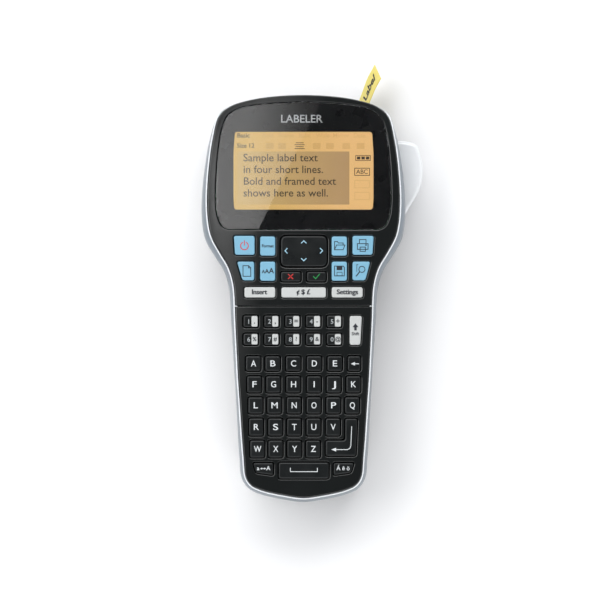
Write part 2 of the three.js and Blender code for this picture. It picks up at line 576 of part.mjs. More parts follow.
// A wire wound along X between the rib and the lever.
const COIL_STEPS = 12;
const coil = [];
for (let i = 0; i <= SPRING.turns * COIL_STEPS; i += 1) {
  const share = i / (SPRING.turns * COIL_STEPS);
  const turn = (2 * Math.PI * i) / COIL_STEPS;
  const middle = new THREE.Vector3(
    THREE.MathUtils.lerp(SPRING.x0 + SPRING.wire, SPRING.x1 - SPRING.wire - 0.2, share),
    SPRING.y + SPRING.radius * Math.cos(turn), SPRING.z + SPRING.radius * Math.sin(turn),
  );
  const out = new THREE.Vector3(0, Math.cos(turn), Math.sin(turn));
  const side = new THREE.Vector3(1, 0, 0);
  coil.push(Array.from({ length: 5 }, (_, k) => {
    const a = (2 * Math.PI * k) / 5;
    return middle.clone().addScaledVector(out, SPRING.wire * Math.cos(a))
      .addScaledVector(side, SPRING.wire * Math.sin(a));
  }));
}

// A closed solid through rings that face any way, with each end a fan of triangles.
function sweep(rings) {
  const out = [];
  const add = (...points) => points.forEach((p) => out.push(p.x, p.y, p.z));
  const n = rings[0].length;
  for (let r = 0; r + 1 < rings.length; r += 1) {
    for (let i = 0; i < n; i += 1) {
      const j = (i + 1) % n;
      add(rings[r][i], rings[r][j], rings[r + 1][j]);
      add(rings[r][i], rings[r + 1][j], rings[r + 1][i]);
    }
  }
  const last = rings[rings.length - 1];
  for (let i = 1; i + 1 < n; i += 1) {
    add(rings[0][0], rings[0][i + 1], rings[0][i]);
    add(last[0], last[i], last[i + 1]);
  }
  return solid(outward(out));
}
piece("lever_spring", sweep(coil), STEEL);

const BLADE = { x0: 31.2, x1: 37.2, back: 33.4, y0: 88.7, y1: 89.5, z0: 8.6, z1: 24, pad: 84.6, tang: 16 };
piece("cutter_blade", joined([
  prism([[BLADE.x0, BLADE.y1], [BLADE.x0 + 1.5, BLADE.y0], [BLADE.back, BLADE.y0], [BLADE.back, BLADE.y1]]
    .map(([x, y]) => new THREE.Vector2(x, y)), BLADE.z0, BLADE.z1),
  box(BLADE.back - 1, BLADE.x1, BLADE.y0, BLADE.y1, BLADE.tang, BLADE.z1),
  box(BLADE.x1 - 1.6, BLADE.x1, BLADE.pad, BLADE.y1, BLADE.tang, BLADE.z1),
]), STEEL);

// ---- printed label: stations of its middle and of half its width, as it twists out of the slot ----
const LABEL_STATIONS = [
  { at: [29.0, 91.0, 15.0], half: [0.0, 0.0, 6.0] },
  { at: [29.6, 95.0, 15.0], half: [1.4, -0.4, 5.8] },
  { at: [30.4, 98.4, 15.1], half: [2.3, -0.7, 5.5] },
  { at: [32.2, 103.2, 15.9], half: [2.1, -1.8, 5.3] },
  { at: [34.1, 108.0, 17.0], half: [1.8, -2.9, 4.9] },
  { at: [37.2, 113.7, 19.4], half: [1.4, -3.7, 4.5] },
];
const LABEL_THICK = 0.4;
const LABEL_STEPS = 14;
const vectors = (key) => LABEL_STATIONS.map((s) => new THREE.Vector3(...s[key]));
const labelMiddle = new THREE.CatmullRomCurve3(vectors("at"));
const labelHalf = new THREE.CatmullRomCurve3(vectors("half"));
const labelRings = Array.from({ length: LABEL_STEPS + 1 }, (_, i) => {
  const t = i / LABEL_STEPS;
  const middle = labelMiddle.getPoint(t);
  const half = labelHalf.getPoint(t);
  const along = labelMiddle.getTangent(t);
  const out = half.clone().cross(along).setLength(LABEL_THICK / 2);
  return [[1, 1], [1, -1], [-1, -1], [-1, 1]].map(([a, b]) => (
    middle.clone().addScaledVector(half, a).addScaledVector(out, b)
  ));
});
piece("printed_label", sweep(labelRings), YELLOW);

// ---- cassette ----
const C = CASSETTE;
const takeupReach = (MODULE_MM * (PLATEN_TEETH + TAKEUP_TEETH)) / 2;
const pinionReach = (MODULE_MM * (PLATEN_TEETH + PINION_TEETH)) / 2;
const reachTo = (angle, distance) => {
  const turn = THREE.MathUtils.degToRad(angle);
  return new THREE.Vector2(PLATEN.x + distance * Math.cos(turn), PLATEN.y + distance * Math.sin(turn));
};
const TAKEUP = reachTo(TAKEUP_ANGLE, takeupReach);
const PINION = reachTo(PINION_ANGLE, pinionReach);
const ROLL_SIZE = { radius: 16.6, hub: 4.2, z0: 5.8, z1: 25.2 };
const SPOOL_SIZE = { radius: 5.2, hub: 2.2 };
const casePost = rod(ROLL.x, ROLL.y, 3.6, C.z0 + 0.5, C.z1 - 0.5, 16);
piece("cassette_case", box(C.x0, C.x1, C.y0, C.y1, C.z0, C.z1)
  .subtract(box(C.x0 + C.wall, C.x1 - C.wall, C.y0 + C.wall, C.y1 - C.wall, C.z0 + C.wall, C.z1 - C.wall))
  .add(casePost)
  .subtract(rod(TAKEUP.x, TAKEUP.y, 3, C.z0 - 1, C.z1 + 1, 16))
  .subtract(box(C.x1 - 3, C.x1 + 1, 64, 67, C.z0 + 3, C.z1 - 3))
  .subtract(rod(ROLL.x, ROLL.y, 2.4, C.z0 - 1, C.z1 + 1, 16)), { color: 0x4a4d52, roughness: 0.5 });
piece("tape_roll", rod(ROLL.x, ROLL.y, ROLL_SIZE.radius, ROLL_SIZE.z0, ROLL_SIZE.z1, 32)
  .subtract(rod(ROLL.x, ROLL.y, ROLL_SIZE.hub, ROLL_SIZE.z0 - 1, ROLL_SIZE.z1 + 1, 20)), YELLOW);
piece("ribbon_takeup_spool", rod(TAKEUP.x, TAKEUP.y, SPOOL_SIZE.radius, ROLL_SIZE.z0, ROLL_SIZE.z1, 20)
  .subtract(rod(TAKEUP.x, TAKEUP.y, SPOOL_SIZE.hub, ROLL_SIZE.z0 - 1, ROLL_SIZE.z1 + 1, 12)), DULL_BLACK);

// ---- print mechanism ----
// Straight-sided teeth with plenty of backlash.
function gear(centre, teeth, phase) {
  const radius = (MODULE_MM * teeth) / 2;
  const pitch = (2 * Math.PI) / teeth;
  const points = [];
  for (let i = 0; i < teeth; i += 1) {
    const middle = phase + i * pitch;
    for (const [share, reach] of [[-0.28, -1.2], [-0.11, 0.85], [0.11, 0.85], [0.28, -1.2]]) {
      const turn = middle + share * pitch;
      const r = radius + reach * MODULE_MM;
      points.push(new THREE.Vector2(centre.x + r * Math.cos(turn), centre.y + r * Math.sin(turn)));
    }
  }
  return prism(points, GEAR_LOW, GEAR_HIGH);
}
// Turn of a gear driven from the platen gear so that a gap faces each tooth.
function meshPhase(angle, teeth, platenPhase) {
  const line = THREE.MathUtils.degToRad(angle);
  const share = (platenPhase - line) / ((2 * Math.PI) / PLATEN_TEETH);
  return line + Math.PI + (0.5 - share) * ((2 * Math.PI) / teeth);
}
const platenPhase = THREE.MathUtils.degToRad(PINION_ANGLE);
piece("platen_gear", gear(PLATEN, PLATEN_TEETH, platenPhase), GEAR_WHITE);
piece("motor_pinion", gear(PINION, PINION_TEETH, meshPhase(PINION_ANGLE, PINION_TEETH, platenPhase))
  .add(rod(PINION.x, PINION.y, 1, PLATE_LOW + 0.1, GEAR_LOW + 1, 12)), GEAR_WHITE);
piece("takeup_gear", gear(TAKEUP, TAKEUP_TEETH, meshPhase(TAKEUP_ANGLE, TAKEUP_TEETH, platenPhase))
  .add(rod(TAKEUP.x, TAKEUP.y, 1.8, ROLL_SIZE.z0 + 1, GEAR_LOW + 1, 12)), GEAR_WHITE);
piece("platen_roller", rod(PLATEN.x, PLATEN.y, 3.2, 6, 26.4, 20)
  .add(rod(PLATEN.x, PLATEN.y, 1.2, 4.6, GEAR_LOW - 0.3, 12)), RUBBER);
piece("drive_motor", rod(PINION.x, PINION.y, 6.4, 9, 27.4, 24)
  .add(rod(PINION.x, PINION.y, 3, 27, PLATE_LOW - GAP, 16)), STEEL);
piece("print_head", box(17.6, 20.2, 55.5, 63.5, 6, 26).add(box(18.2, 19.6, 57, 62, 25, PLATE_LOW - GAP)), STEEL);
piece("mechanism_plate", prism(rounded(rectangle(-35, 35.5, 34, 86), 3), PLATE_LOW, PLATE_HIGH)
  .subtract(rod(PLATEN.x, PLATEN.y, 1.7, PLATE_LOW - 1, PLATE_HIGH + 1, 16))
  .subtract(rod(PINION.x, PINION.y, 1.6, PLATE_LOW - 1, PLATE_HIGH + 1, 16))
  .subtract(rod(TAKEUP.x, TAKEUP.y, 2.4, PLATE_LOW - 1, PLATE_HIGH + 1, 16)), STEEL);

// ---- electronics ----
piece("main_board", loft([ring(BOARD_LOW, BOARD_INSET), ring(BOARD_HIGH, BOARD_INSET)], true)
  .subtract(joined(SCREWS.map(([x, y]) => rod(x, y, SCREW.boss, BOARD_LOW - 1, BOARD_HIGH + 1, 12)))), GREEN_BOARD);
piece("battery_pack", prism(
  rounded(rectangle(-BATTERY.half, BATTERY.y0, BATTERY.half, BATTERY.y1), 3, 3), BATTERY.z0, BATTERY.z1,
), { color: 0x30343c, roughness: 0.5 });
piece("usb_socket", box(USB.x0, USB.x1, USB.y0, USB.y1, USB.z0, USB.z1)
  .subtract(box(USB.x0 + 0.5, USB.x1 - 0.5, USB.y1 - 6, USB.y1 + 1, USB.z0 + 0.5, USB.z1 - 0.5))
  .add(box(USB.x0 + 1.6, USB.x1 - 1.6, USB.y1 - 6.5, USB.y1 - 1, USB.z0 + 1.5, USB.z0 + 2.1)), STEEL);
const jackMiddle = (JACK.z0 + JACK.z1) / 2;
piece("power_jack", box(JACK.x - JACK.half, JACK.x + JACK.half, JACK.y0, JACK.y1, JACK.z0, JACK.z1)
  .subtract(rodAlongY(JACK.x, jackMiddle, JACK.bore, JACK.y1 - JACK.depth, JACK.y1 + 1, 20))
  .add(rodAlongY(JACK.x, jackMiddle, JACK.pin, JACK.y1 - JACK.depth - 0.5, JACK.y1 - 1, 10)), DULL_BLACK);

const group = new THREE.Group();
meshes.forEach((mesh) => group.add(mesh));
group.updateMatrixWorld(true);
const bounds = new THREE.Box3().setFromObject(group, true);
const centre = bounds.getCenter(new THREE.Vector3());
group.position.set(-centre.x, -centre.y, -bounds.min.z);

export default group;
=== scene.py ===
# The looks of a handheld label maker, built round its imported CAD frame.
# Sizes are in millimetres in the part's own layout; place() turns them into the row frame.
import itertools
import math

import bpy
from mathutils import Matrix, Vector


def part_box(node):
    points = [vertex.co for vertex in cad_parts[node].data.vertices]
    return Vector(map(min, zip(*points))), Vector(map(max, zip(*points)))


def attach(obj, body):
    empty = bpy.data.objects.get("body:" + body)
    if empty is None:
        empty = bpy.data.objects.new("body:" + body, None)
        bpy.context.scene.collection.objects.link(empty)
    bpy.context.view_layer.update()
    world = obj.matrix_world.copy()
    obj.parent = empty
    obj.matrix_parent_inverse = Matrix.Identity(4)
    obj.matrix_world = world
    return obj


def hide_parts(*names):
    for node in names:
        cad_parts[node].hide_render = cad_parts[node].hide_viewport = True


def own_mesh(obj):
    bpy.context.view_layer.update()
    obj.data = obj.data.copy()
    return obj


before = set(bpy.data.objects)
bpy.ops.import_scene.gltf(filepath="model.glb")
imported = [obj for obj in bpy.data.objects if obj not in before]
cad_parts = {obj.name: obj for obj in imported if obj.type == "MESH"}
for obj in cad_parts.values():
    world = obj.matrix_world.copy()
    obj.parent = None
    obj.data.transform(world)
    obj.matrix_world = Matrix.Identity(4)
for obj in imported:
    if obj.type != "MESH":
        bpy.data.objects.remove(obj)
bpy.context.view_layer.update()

MM = 0.001
PAD_CENTRE = (0.15, 23.5)  # middle of the navigation pad in the part's layout
pad_low, pad_high = (Vector(corner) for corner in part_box("navigation_pad"))
SHIFT = (pad_low + pad_high) / 2 - Vector((PAD_CENTRE[0] * MM, PAD_CENTRE[1] * MM, 0))
SHIFT.z = 0


def place(x, y, z):
    return Vector((x * MM, y * MM, z * MM)) + SHIFT


# ---------------------------------------------------------------- camera, light and stage
FACE_Z = 50.0
VIEW_CENTRE = (-1.7, -0.4)
VIEW_WIDTH = 293.8
VIEW_DISTANCE = 1500.0
SENSOR = 36.0
CLIP_END = 20

camera_data = bpy.data.cameras.new("camera")
camera_data.sensor_width = SENSOR
camera_data.lens = SENSOR * VIEW_DISTANCE / VIEW_WIDTH
camera_data.clip_end = CLIP_END
camera = bpy.data.objects.new("camera", camera_data)
camera.location = place(*VIEW_CENTRE, FACE_Z + VIEW_DISTANCE)
bpy.context.scene.collection.objects.link(camera)
bpy.context.scene.camera = camera


AIM = (0, 0, 40)


def area_light(name, spot, size, power):
    data = bpy.data.lights.new(name, "AREA")
    data.shape = "RECTANGLE"
    data.size, data.size_y = size
    data.energy = power
    light = bpy.data.objects.new(name, data)
    light.location = place(*spot)
    towards = place(*AIM) - light.location
    light.rotation_euler = towards.to_track_quat("-Z", "Y").to_euler()
    bpy.context.scene.collection.objects.link(light)


area_light("key_light", (-850, 250, 1150), (0.9, 0.9), 9)
area_light("top_light", (0, 1000, 1300), (1.6, 0.8), 17)
area_light("tail_light", (200, -1150, 1150), (1.6, 0.8), 8)

# The room is bright low down and dark overhead, so glossy black faces that look up stay black.
HORIZON = (0.98, 1.0, 1.02, 1)
ZENITH = (0.065, 0.07, 0.075, 1)
FADE_START = 0.3
FADE_END = 0.93
world = bpy.data.worlds.new("studio")
bpy.context.scene.world = world
world.use_nodes = True
room = world.node_tree
direction = room.nodes.new("ShaderNodeTexCoord")
parts = room.nodes.new("ShaderNodeSeparateXYZ")
height = room.nodes.new("ShaderNodeMapRange")
height.inputs["From Min"].default_value = FADE_START
height.inputs["From Max"].default_value = FADE_END
sky = room.nodes.new("ShaderNodeMix")
sky.data_type = "RGBA"
sky.inputs["A"].default_value = HORIZON
sky.inputs["B"].default_value = ZENITH
room.links.new(direction.outputs["Generated"], parts.inputs["Vector"])
room.links.new(parts.outputs["Z"], height.inputs["Value"])
room.links.new(height.outputs["Result"], sky.inputs["Factor"])
room.links.new(sky.outputs["Result"], room.nodes["Background"].inputs["Color"])
bpy.context.scene.view_settings.view_transform = "Standard"


# ---------------------------------------------------------------- materials
def linear(red, green, blue):
    """A display colour of 0 to 255 as the linear colour that shaders take."""
    def one(value):
        share = value / 255
        return share / 12.92 if share <= 0.04045 else ((share + 0.055) / 1.055) ** 2.4

    return (one(red), one(green), one(blue), 1.0)


def mixed(tree, factor, low, high):
    mix = tree.nodes.new("ShaderNodeMix")
    mix.data_type = "RGBA"
    mix.inputs["A"].default_value = low
    mix.inputs["B"].default_value = high
    tree.links.new(factor, mix.inputs["Factor"])
    return mix.outputs["Result"]


def noise(tree, scale, detail=4.0, stretch=(1, 1, 1)):
    coords = tree.nodes.new("ShaderNodeTexCoord")
    mapping = tree.nodes.new("ShaderNodeMapping")
    mapping.inputs["Scale"].default_value = stretch
    texture = tree.nodes.new("ShaderNodeTexNoise")
    texture.inputs["Scale"].default_value = scale
    texture.inputs["Detail"].default_value = detail
    tree.links.new(coords.outputs["Object"], mapping.inputs["Vector"])
    tree.links.new(mapping.outputs["Vector"], texture.inputs["Vector"])
    return texture.outputs["Fac"]


def ranged(tree, value, low, high, start=0.3, end=0.7):
    node = tree.nodes.new("ShaderNodeMapRange")
    node.inputs["From Min"].default_value = start
    node.inputs["From Max"].default_value = end
    node.inputs["To Min"].default_value = low
    node.inputs["To Max"].default_value = high
    tree.links.new(value, node.inputs["Value"])
    return node.outputs["Result"]


SMEAR_SCALE = 2.3
COAT_ROUGH = 0.05


def surface(
    name, colour, rough, drift=0.06, metal=0.0, coat=0.0, grain=900.0, bump=0.05,
    depth=0.02, patch=60.0, stretch=(1, 1, 1), wear=0.12, specular=0.5,
):
    """A moulded, painted or metal surface: colour drift, handled patches, worn spots, fine grain."""
    made = bpy.data.materials.new(name)
    made.use_nodes = True
    tree = made.node_tree
    shader = tree.nodes["Principled BSDF"]
    patches = noise(tree, patch)
    base = linear(*colour)
    darker = tuple(value * (1 - drift * 2) for value in base[:3]) + (1.0,)
    lighter = tuple(min(1.0, value * (1 + drift) + drift * 0.02) for value in base[:3]) + (1.0,)
    tree.links.new(mixed(tree, ranged(tree, patches, 0, 1), darker, lighter), shader.inputs["Base Color"])
    smears = noise(tree, patch * SMEAR_SCALE, 6.0, stretch)
    low, high = max(0.0, rough - wear / 2), min(1.0, rough + wear / 2)
    tree.links.new(ranged(tree, smears, low, high), shader.inputs["Roughness"])
    shader.inputs["Metallic"].default_value = metal
    shader.inputs["Specular IOR Level"].default_value = specular
    shader.inputs["Coat Weight"].default_value = coat
    shader.inputs["Coat Roughness"].default_value = COAT_ROUGH
    relief = tree.nodes.new("ShaderNodeBump")
    relief.inputs["Strength"].default_value = bump
    relief.inputs["Distance"].default_value = depth * MM
    tree.links.new(noise(tree, grain, 3.0, stretch), relief.inputs["Height"])
    tree.links.new(relief.outputs["Normal"], shader.inputs["Normal"])
    return made


GRADE_LEFT = -32
GRADE_RIGHT = 20
SPECKLE = 0.05


def glowing(name, left, right):
    """A backlit layer that drifts from one colour to another across the screen."""
    made = bpy.data.materials.new(name)
    made.use_nodes = True
    tree = made.node_tree
    shader = tree.nodes["Principled BSDF"]
    coords = tree.nodes.new("ShaderNodeTexCoord")
    split = tree.nodes.new("ShaderNodeSeparateXYZ")
    tree.links.new(coords.outputs["Object"], split.inputs["Vector"])
    start, end = SHIFT.x + GRADE_LEFT * MM, SHIFT.x + GRADE_RIGHT * MM
    across = ranged(tree, split.outputs["X"], 0, 1, start, end)
    graded = mixed(tree, across, linear(*left), linear(*right))
    grain = tree.nodes.new("ShaderNodeMix")
    grain.data_type = "RGBA"
    grain.blend_type = "MULTIPLY"
    grain.inputs["Factor"].default_value = SPECKLE
    tree.links.new(graded, grain.inputs["A"])
    tree.links.new(mixed(tree, noise(tree, 400.0), (0.6, 0.6, 0.6, 1), (1, 1, 1, 1)), grain.inputs["B"])
    tree.links.new(grain.outputs["Result"], shader.inputs["Emission Color"])
    shader.inputs["Base Color"].default_value = (0.01, 0.01, 0.01, 1)
    shader.inputs["Emission Strength"].default_value = 1.0
    shader.inputs["Roughness"].default_value = 0.6
    return made


GLOSS_BLACK = surface("gloss_black", (22, 24, 24), 0.05, coat=0.3, bump=0.004, patch=40, wear=0.03)
MASK_BLACK = surface("mask_black", (6, 6, 7), 0.3, bump=0.02, specular=0.25)
KEY_BLACK = surface("key_black", (15, 18, 19), 0.33, bump=0.04, specular=0.35)
DULL_BLACK = surface("dull_black", (30, 31, 33), 0.5, grain=2600, bump=0.35, depth=0.05, wear=0.14)
KEY_BLUE = surface("key_blue", (119, 169, 194), 0.36, drift=0.02, bump=0.04)
KEY_WHITE = surface("key_white", (186, 188, 187), 0.4, drift=0.02, bump=0.04)
SILVER = surface(
    "silver", (126, 134, 142), 0.3, drift=0.01, metal=0.8, grain=3000, bump=0.006, patch=25, wear=0.03,
)
# The silver band's lip is given a near-white, barely metallic colour: a painted highlight where the lip faces
# up, not a separate finish.
LIP_PAINTED_HIGHLIGHT = surface("bright_lip", (234, 237, 240), 0.25, drift=0.01, metal=0.1, bump=0.01)
LEVER_SILVER = surface("lever_silver", (236, 238, 240), 0.36, drift=0.02, metal=0.1, coat=0.15, bump=0.04)
STEEL = surface(
    "steel", (170, 174, 178), 0.3, drift=0.08, metal=1.0, grain=500, bump=0.12, stretch=(1, 12, 1),
)
DARK_STEEL = surface("dark_steel", (120, 123, 128), 0.4, drift=0.08, metal=1.0, grain=700, bump=0.1)
RUBBER = surface("rubber", (40, 40, 42), 0.75, grain=1800, bump=0.3, depth=0.05)
NYLON = surface("nylon", (222, 216, 200), 0.42, drift=0.04, bump=0.06)
CASE_GREY = surface("case_grey", (76, 78, 84), 0.45, grain=2000, bump=0.25)
YELLOW = surface("label_yellow", (222, 204, 92), 0.32, drift=0.03, coat=0.3, bump=0.03)
BOARD = surface("board_green", (26, 92, 58), 0.45, drift=0.1, grain=260, bump=0.2, patch=160)
BATTERY = surface("battery_wrap", (46, 50, 60), 0.38, drift=0.06, coat=0.3, bump=0.05)
INK_WHITE = surface("ink_white", (206, 210, 212), 0.45, drift=0.02, bump=0.02)
INK_GREY = surface("ink_grey", (166, 171, 173), 0.45, drift=0.02, bump=0.02)
INK_PALE_BLUE = surface("ink_pale_blue", (150, 192, 212), 0.45, drift=0.02, bump=0.02)
INK_DARK = surface("ink_dark", (20, 24, 34), 0.5, drift=0.02, bump=0.02)
INK_RED = surface("ink_red", (196, 46, 44), 0.45, drift=0.03, bump=0.02)
INK_GREEN = surface("ink_green", (36, 150, 74), 0.45, drift=0.03, bump=0.02)
AMBER = glowing("screen_amber", (212, 176, 94), (242, 194, 126))
TAN = glowing("screen_tan", (206, 174, 106), (186, 150, 102))
SCREEN_INK = glowing("screen_ink", (62, 52, 38), (66, 50, 34))
SCREEN_FAINT = glowing("screen_faint", (200, 164, 92), (228, 180, 112))


def glass(name, tint, rough):
    made = surface(name, tint, rough, drift=0.01, bump=0.01, wear=0.02)
    shader = made.node_tree.nodes["Principled BSDF"]
    shader.inputs["Transmission Weight"].default_value = 1.0
    shader.inputs["IOR"].default_value = 1.49
    return made


WINDOW_GLASS = glass("window_glass", (246, 246, 246), 0.012)
CLEAR = glass("clear_window", (236, 240, 242), 0.06)


# ---------------------------------------------------------------- outlines
def twice_area(corners):
    """Twice the area inside an outline, below zero where it runs clockwise."""
    return sum(a[0] * b[1] - b[0] * a[1] for a, b in zip(corners, corners[1:] + corners[:1]))


def grown(corners, distance):
    """Moves every side of an outline outwards by a distance."""
    count = len(corners)
    side = distance if twice_area(corners) > 0 else -distance
    out = []
    for i, (x, y) in enumerate(corners):
        before = (Vector((x, y)) - Vector(corners[i - 1])).normalized()
        after = (Vector(corners[(i + 1) % count]) - Vector((x, y))).normalized()
        reach = side / (1 + before.dot(after))
        out.append((x + reach * (before.y + after.y), y - reach * (before.x + after.x)))
    return out


SIDE_SHARE = 0.45
CORNER_STEPS = 6


def rounded(corners, radius):
    """An outline with each corner rounded by a curve, which takes less than half of a side."""
    count = len(corners)
    points = []
    for i, corner in enumerate(corners):
        here = Vector(corner)
        back = Vector(corners[i - 1]) - here
        ahead = Vector(corners[(i + 1) % count]) - here
        reach = min(radius, back.length * SIDE_SHARE, ahead.length * SIDE_SHARE)
        start = here + back.normalized() * reach
        end = here + ahead.normalized() * reach
        for k in range(CORNER_STEPS + 1):
            t = k / CORNER_STEPS
            point = start * (1 - t) ** 2 + here * 2 * t * (1 - t) + end * t**2
            points.append((point.x, point.y))
    return points


def rectangle(x0, y0, x1, y1):
    return [(x0, y0), (x1, y0), (x1, y1), (x0, y1)]


def through(points, steps, closed=False):
    """A centripetal curve through points."""
    pts = [Vector(p) for p in points]
    count = len(pts)
    out = []
    for i in range(count if closed else count - 1):
        if closed:
            p0, p1, p2, p3 = (pts[(i + k - 1) % count] for k in range(4))
        else:
            p1, p2 = pts[i], pts[i + 1]
            p0 = pts[i - 1] if i > 0 else p1 * 2 - p2
            p3 = pts[i + 2] if i + 2 < count else p2 * 2 - p1
        t0 = 0.0
        t1 = t0 + math.sqrt((p1 - p0).length)
        t2 = t1 + math.sqrt((p2 - p1).length)
        t3 = t2 + math.sqrt((p3 - p2).length)
        for k in range(steps):
            t = t1 + (t2 - t1) * k / steps
            a1 = p0 * ((t1 - t) / (t1 - t0)) + p1 * ((t - t0) / (t1 - t0))
            a2 = p1 * ((t2 - t) / (t2 - t1)) + p2 * ((t - t1) / (t2 - t1))
            a3 = p2 * ((t3 - t) / (t3 - t2)) + p3 * ((t - t2) / (t3 - t2))
            b1 = a1 * ((t2 - t) / (t2 - t0)) + a2 * ((t - t0) / (t2 - t0))
            b2 = a2 * ((t3 - t) / (t3 - t1)) + a3 * ((t - t1) / (t3 - t1))
            out.append(b1 * ((t2 - t) / (t2 - t1)) + b2 * ((t - t1) / (t2 - t1)))
    if not closed:
        out.append(pts[-1])
    return out


def evenly(points, count):
    """Points at equal spacing round a closed outline, starting at its first point."""
    loop = points + [points[0]]
    runs = [0.0]
    for a, b in zip(loop, loop[1:]):
        runs.append(runs[-1] + (b - a).length)
    out = []
    k = 0
    for i in range(count):
        want = runs[-1] * i / count
        while runs[k + 1] < want:
            k += 1
        share = (want - runs[k]) / (runs[k + 1] - runs[k])
        out.append(loop[k].lerp(loop[k + 1], share))
    return out


# The right half of the body's outline, from the top down.
HALF_OUTLINE = [
    (0, 100), (18.4, 98.9), (30.1, 96.6), (37.6, 93.9), (42.2, 90.0), (45.3, 81.9), (48.2, 67.5),
    (50.1, 49), (49.9, 37.8), (48.2, 29.0), (43.5, 20.7), (39.3, 14.0), (36.7, 5.5), (35.5, -12),
    (33.3, -47.4), (31.6, -77), (30.4, -88.2), (27.0, -93.2), (21.0, -96.1), (9.5, -98.7), (0, -99.9),
]
# How far the fascias' edge lies inside the outline, as (Y, distance).
MARGINS = [
    (-100, 2.8), (-80, 2.6), (-40, 2.1), (0, 2.7), (28, 3.8), (46, 3.3), (80, 2.0), (91, 1.1), (96, 0),
]
OUTLINE_STEPS = 384
mirror_half = [(-x, y) for x, y in reversed(HALF_OUTLINE[1:-1])]
OUTLINE = evenly(through(HALF_OUTLINE + mirror_half, 24, closed=True), OUTLINE_STEPS)


def normal_at(i):
    along = (OUTLINE[(i + 1) % OUTLINE_STEPS] - OUTLINE[i - 1]).normalized()
    return Vector((-along.y, along.x))


NORMALS = [normal_at(i) for i in range(OUTLINE_STEPS)]
if NORMALS[OUTLINE_STEPS // 4].x < 0:
    NORMALS = [-n for n in NORMALS]


def margin(y):
    for (y0, m0), (y1, m1) in zip(MARGINS, MARGINS[1:]):
        if y <= y1:
            return m0 + (m1 - m0) * max(0.0, (y - y0)) / (y1 - y0)
    return 0.0


def inset_outline(distance):
    """The body's outline moved in by a number or by a function of Y."""
    points = []
    for point, normal in zip(OUTLINE, NORMALS):
        reach = distance(point.y) if callable(distance) else distance
        points.append((point.x - normal.x * reach, point.y - normal.y * reach))
    return points


# ---------------------------------------------------------------- mesh makers
def make_object(name, mesh, material, body, sharp=35.0):
    if material:
        mesh.materials.clear()
        mesh.materials.append(material)
    mesh.polygons.foreach_set("use_smooth", [True] * len(mesh.polygons))
    mesh.set_sharp_from_angle(angle=math.radians(sharp))
    made = bpy.data.objects.new(name, mesh)
    bpy.context.scene.collection.objects.link(made)
    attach(made, body)
    return made


def mesh_of(name, points, faces):
    mesh = bpy.data.meshes.new(name)
    mesh.from_pydata([tuple(p) for p in points], [], faces)
    mesh.update()
    return mesh


def plate_mesh(name, outlines, low, top, bevel, steps):
    """A flat plate with holes and softly rounded edges, from closed outlines."""
    curve = bpy.data.curves.new(name, "CURVE")
    curve.dimensions = "2D"
    curve.fill_mode = "BOTH"
    curve.extrude = ((top - low) / 2 - bevel) * MM
    curve.bevel_depth = bevel * MM
    curve.bevel_resolution = steps
    curve.offset = -bevel * MM
    for outline in outlines:
        spline = curve.splines.new("POLY")
        spline.points.add(len(outline) - 1)
        for point, (x, y) in zip(spline.points, outline):
            point.co = (x * MM + SHIFT.x, y * MM + SHIFT.y, 0, 1)
        spline.use_cyclic_u = True
    holder = bpy.data.objects.new(name, curve)
    bpy.context.scene.collection.objects.link(holder)
    graph = bpy.context.evaluated_depsgraph_get()
    mesh = bpy.data.meshes.new_from_object(holder.evaluated_get(graph))
    bpy.data.objects.remove(holder)
    bpy.data.curves.remove(curve)
    middle = (low + top) / 2 * MM
    for vertex in mesh.vertices:
        vertex.co.z += middle
    mesh.name = name
    return mesh


def plate(name, outlines, low, top, bevel, material, body, steps=3):
    mesh = plate_mesh(name, outlines, low, top, bevel, steps)
    return make_object(name, mesh, material, body)


def rings_mesh(name, rings, closed):
    """Quads between rings of points. closed joins the last ring to the first; open ends are capped."""
    count = len(rings[0])
    points = [p for ring in rings for p in ring]
    faces = []
    for r in range(len(rings) if closed else len(rings) - 1):
        s = (r + 1) % len(rings)
        for i in range(count):
            j = (i + 1) % count
            faces.append((r * count + i, r * count + j, s * count + j, s * count + i))
    if not closed:
        faces.append(tuple(reversed(range(count))))
        faces.append(tuple((len(rings) - 1) * count + i for i in range(count)))
    return mesh_of(name, points, faces)


# ---------------------------------------------------------------- printed legends
LAYER = 0.002  # each stroke of a mark lies this much above the one before it
LETTER_STEPS = 4
BOLD_OFFSET = 0.02  # how far a bold of 1 grows a letter's outline, as a share of its size


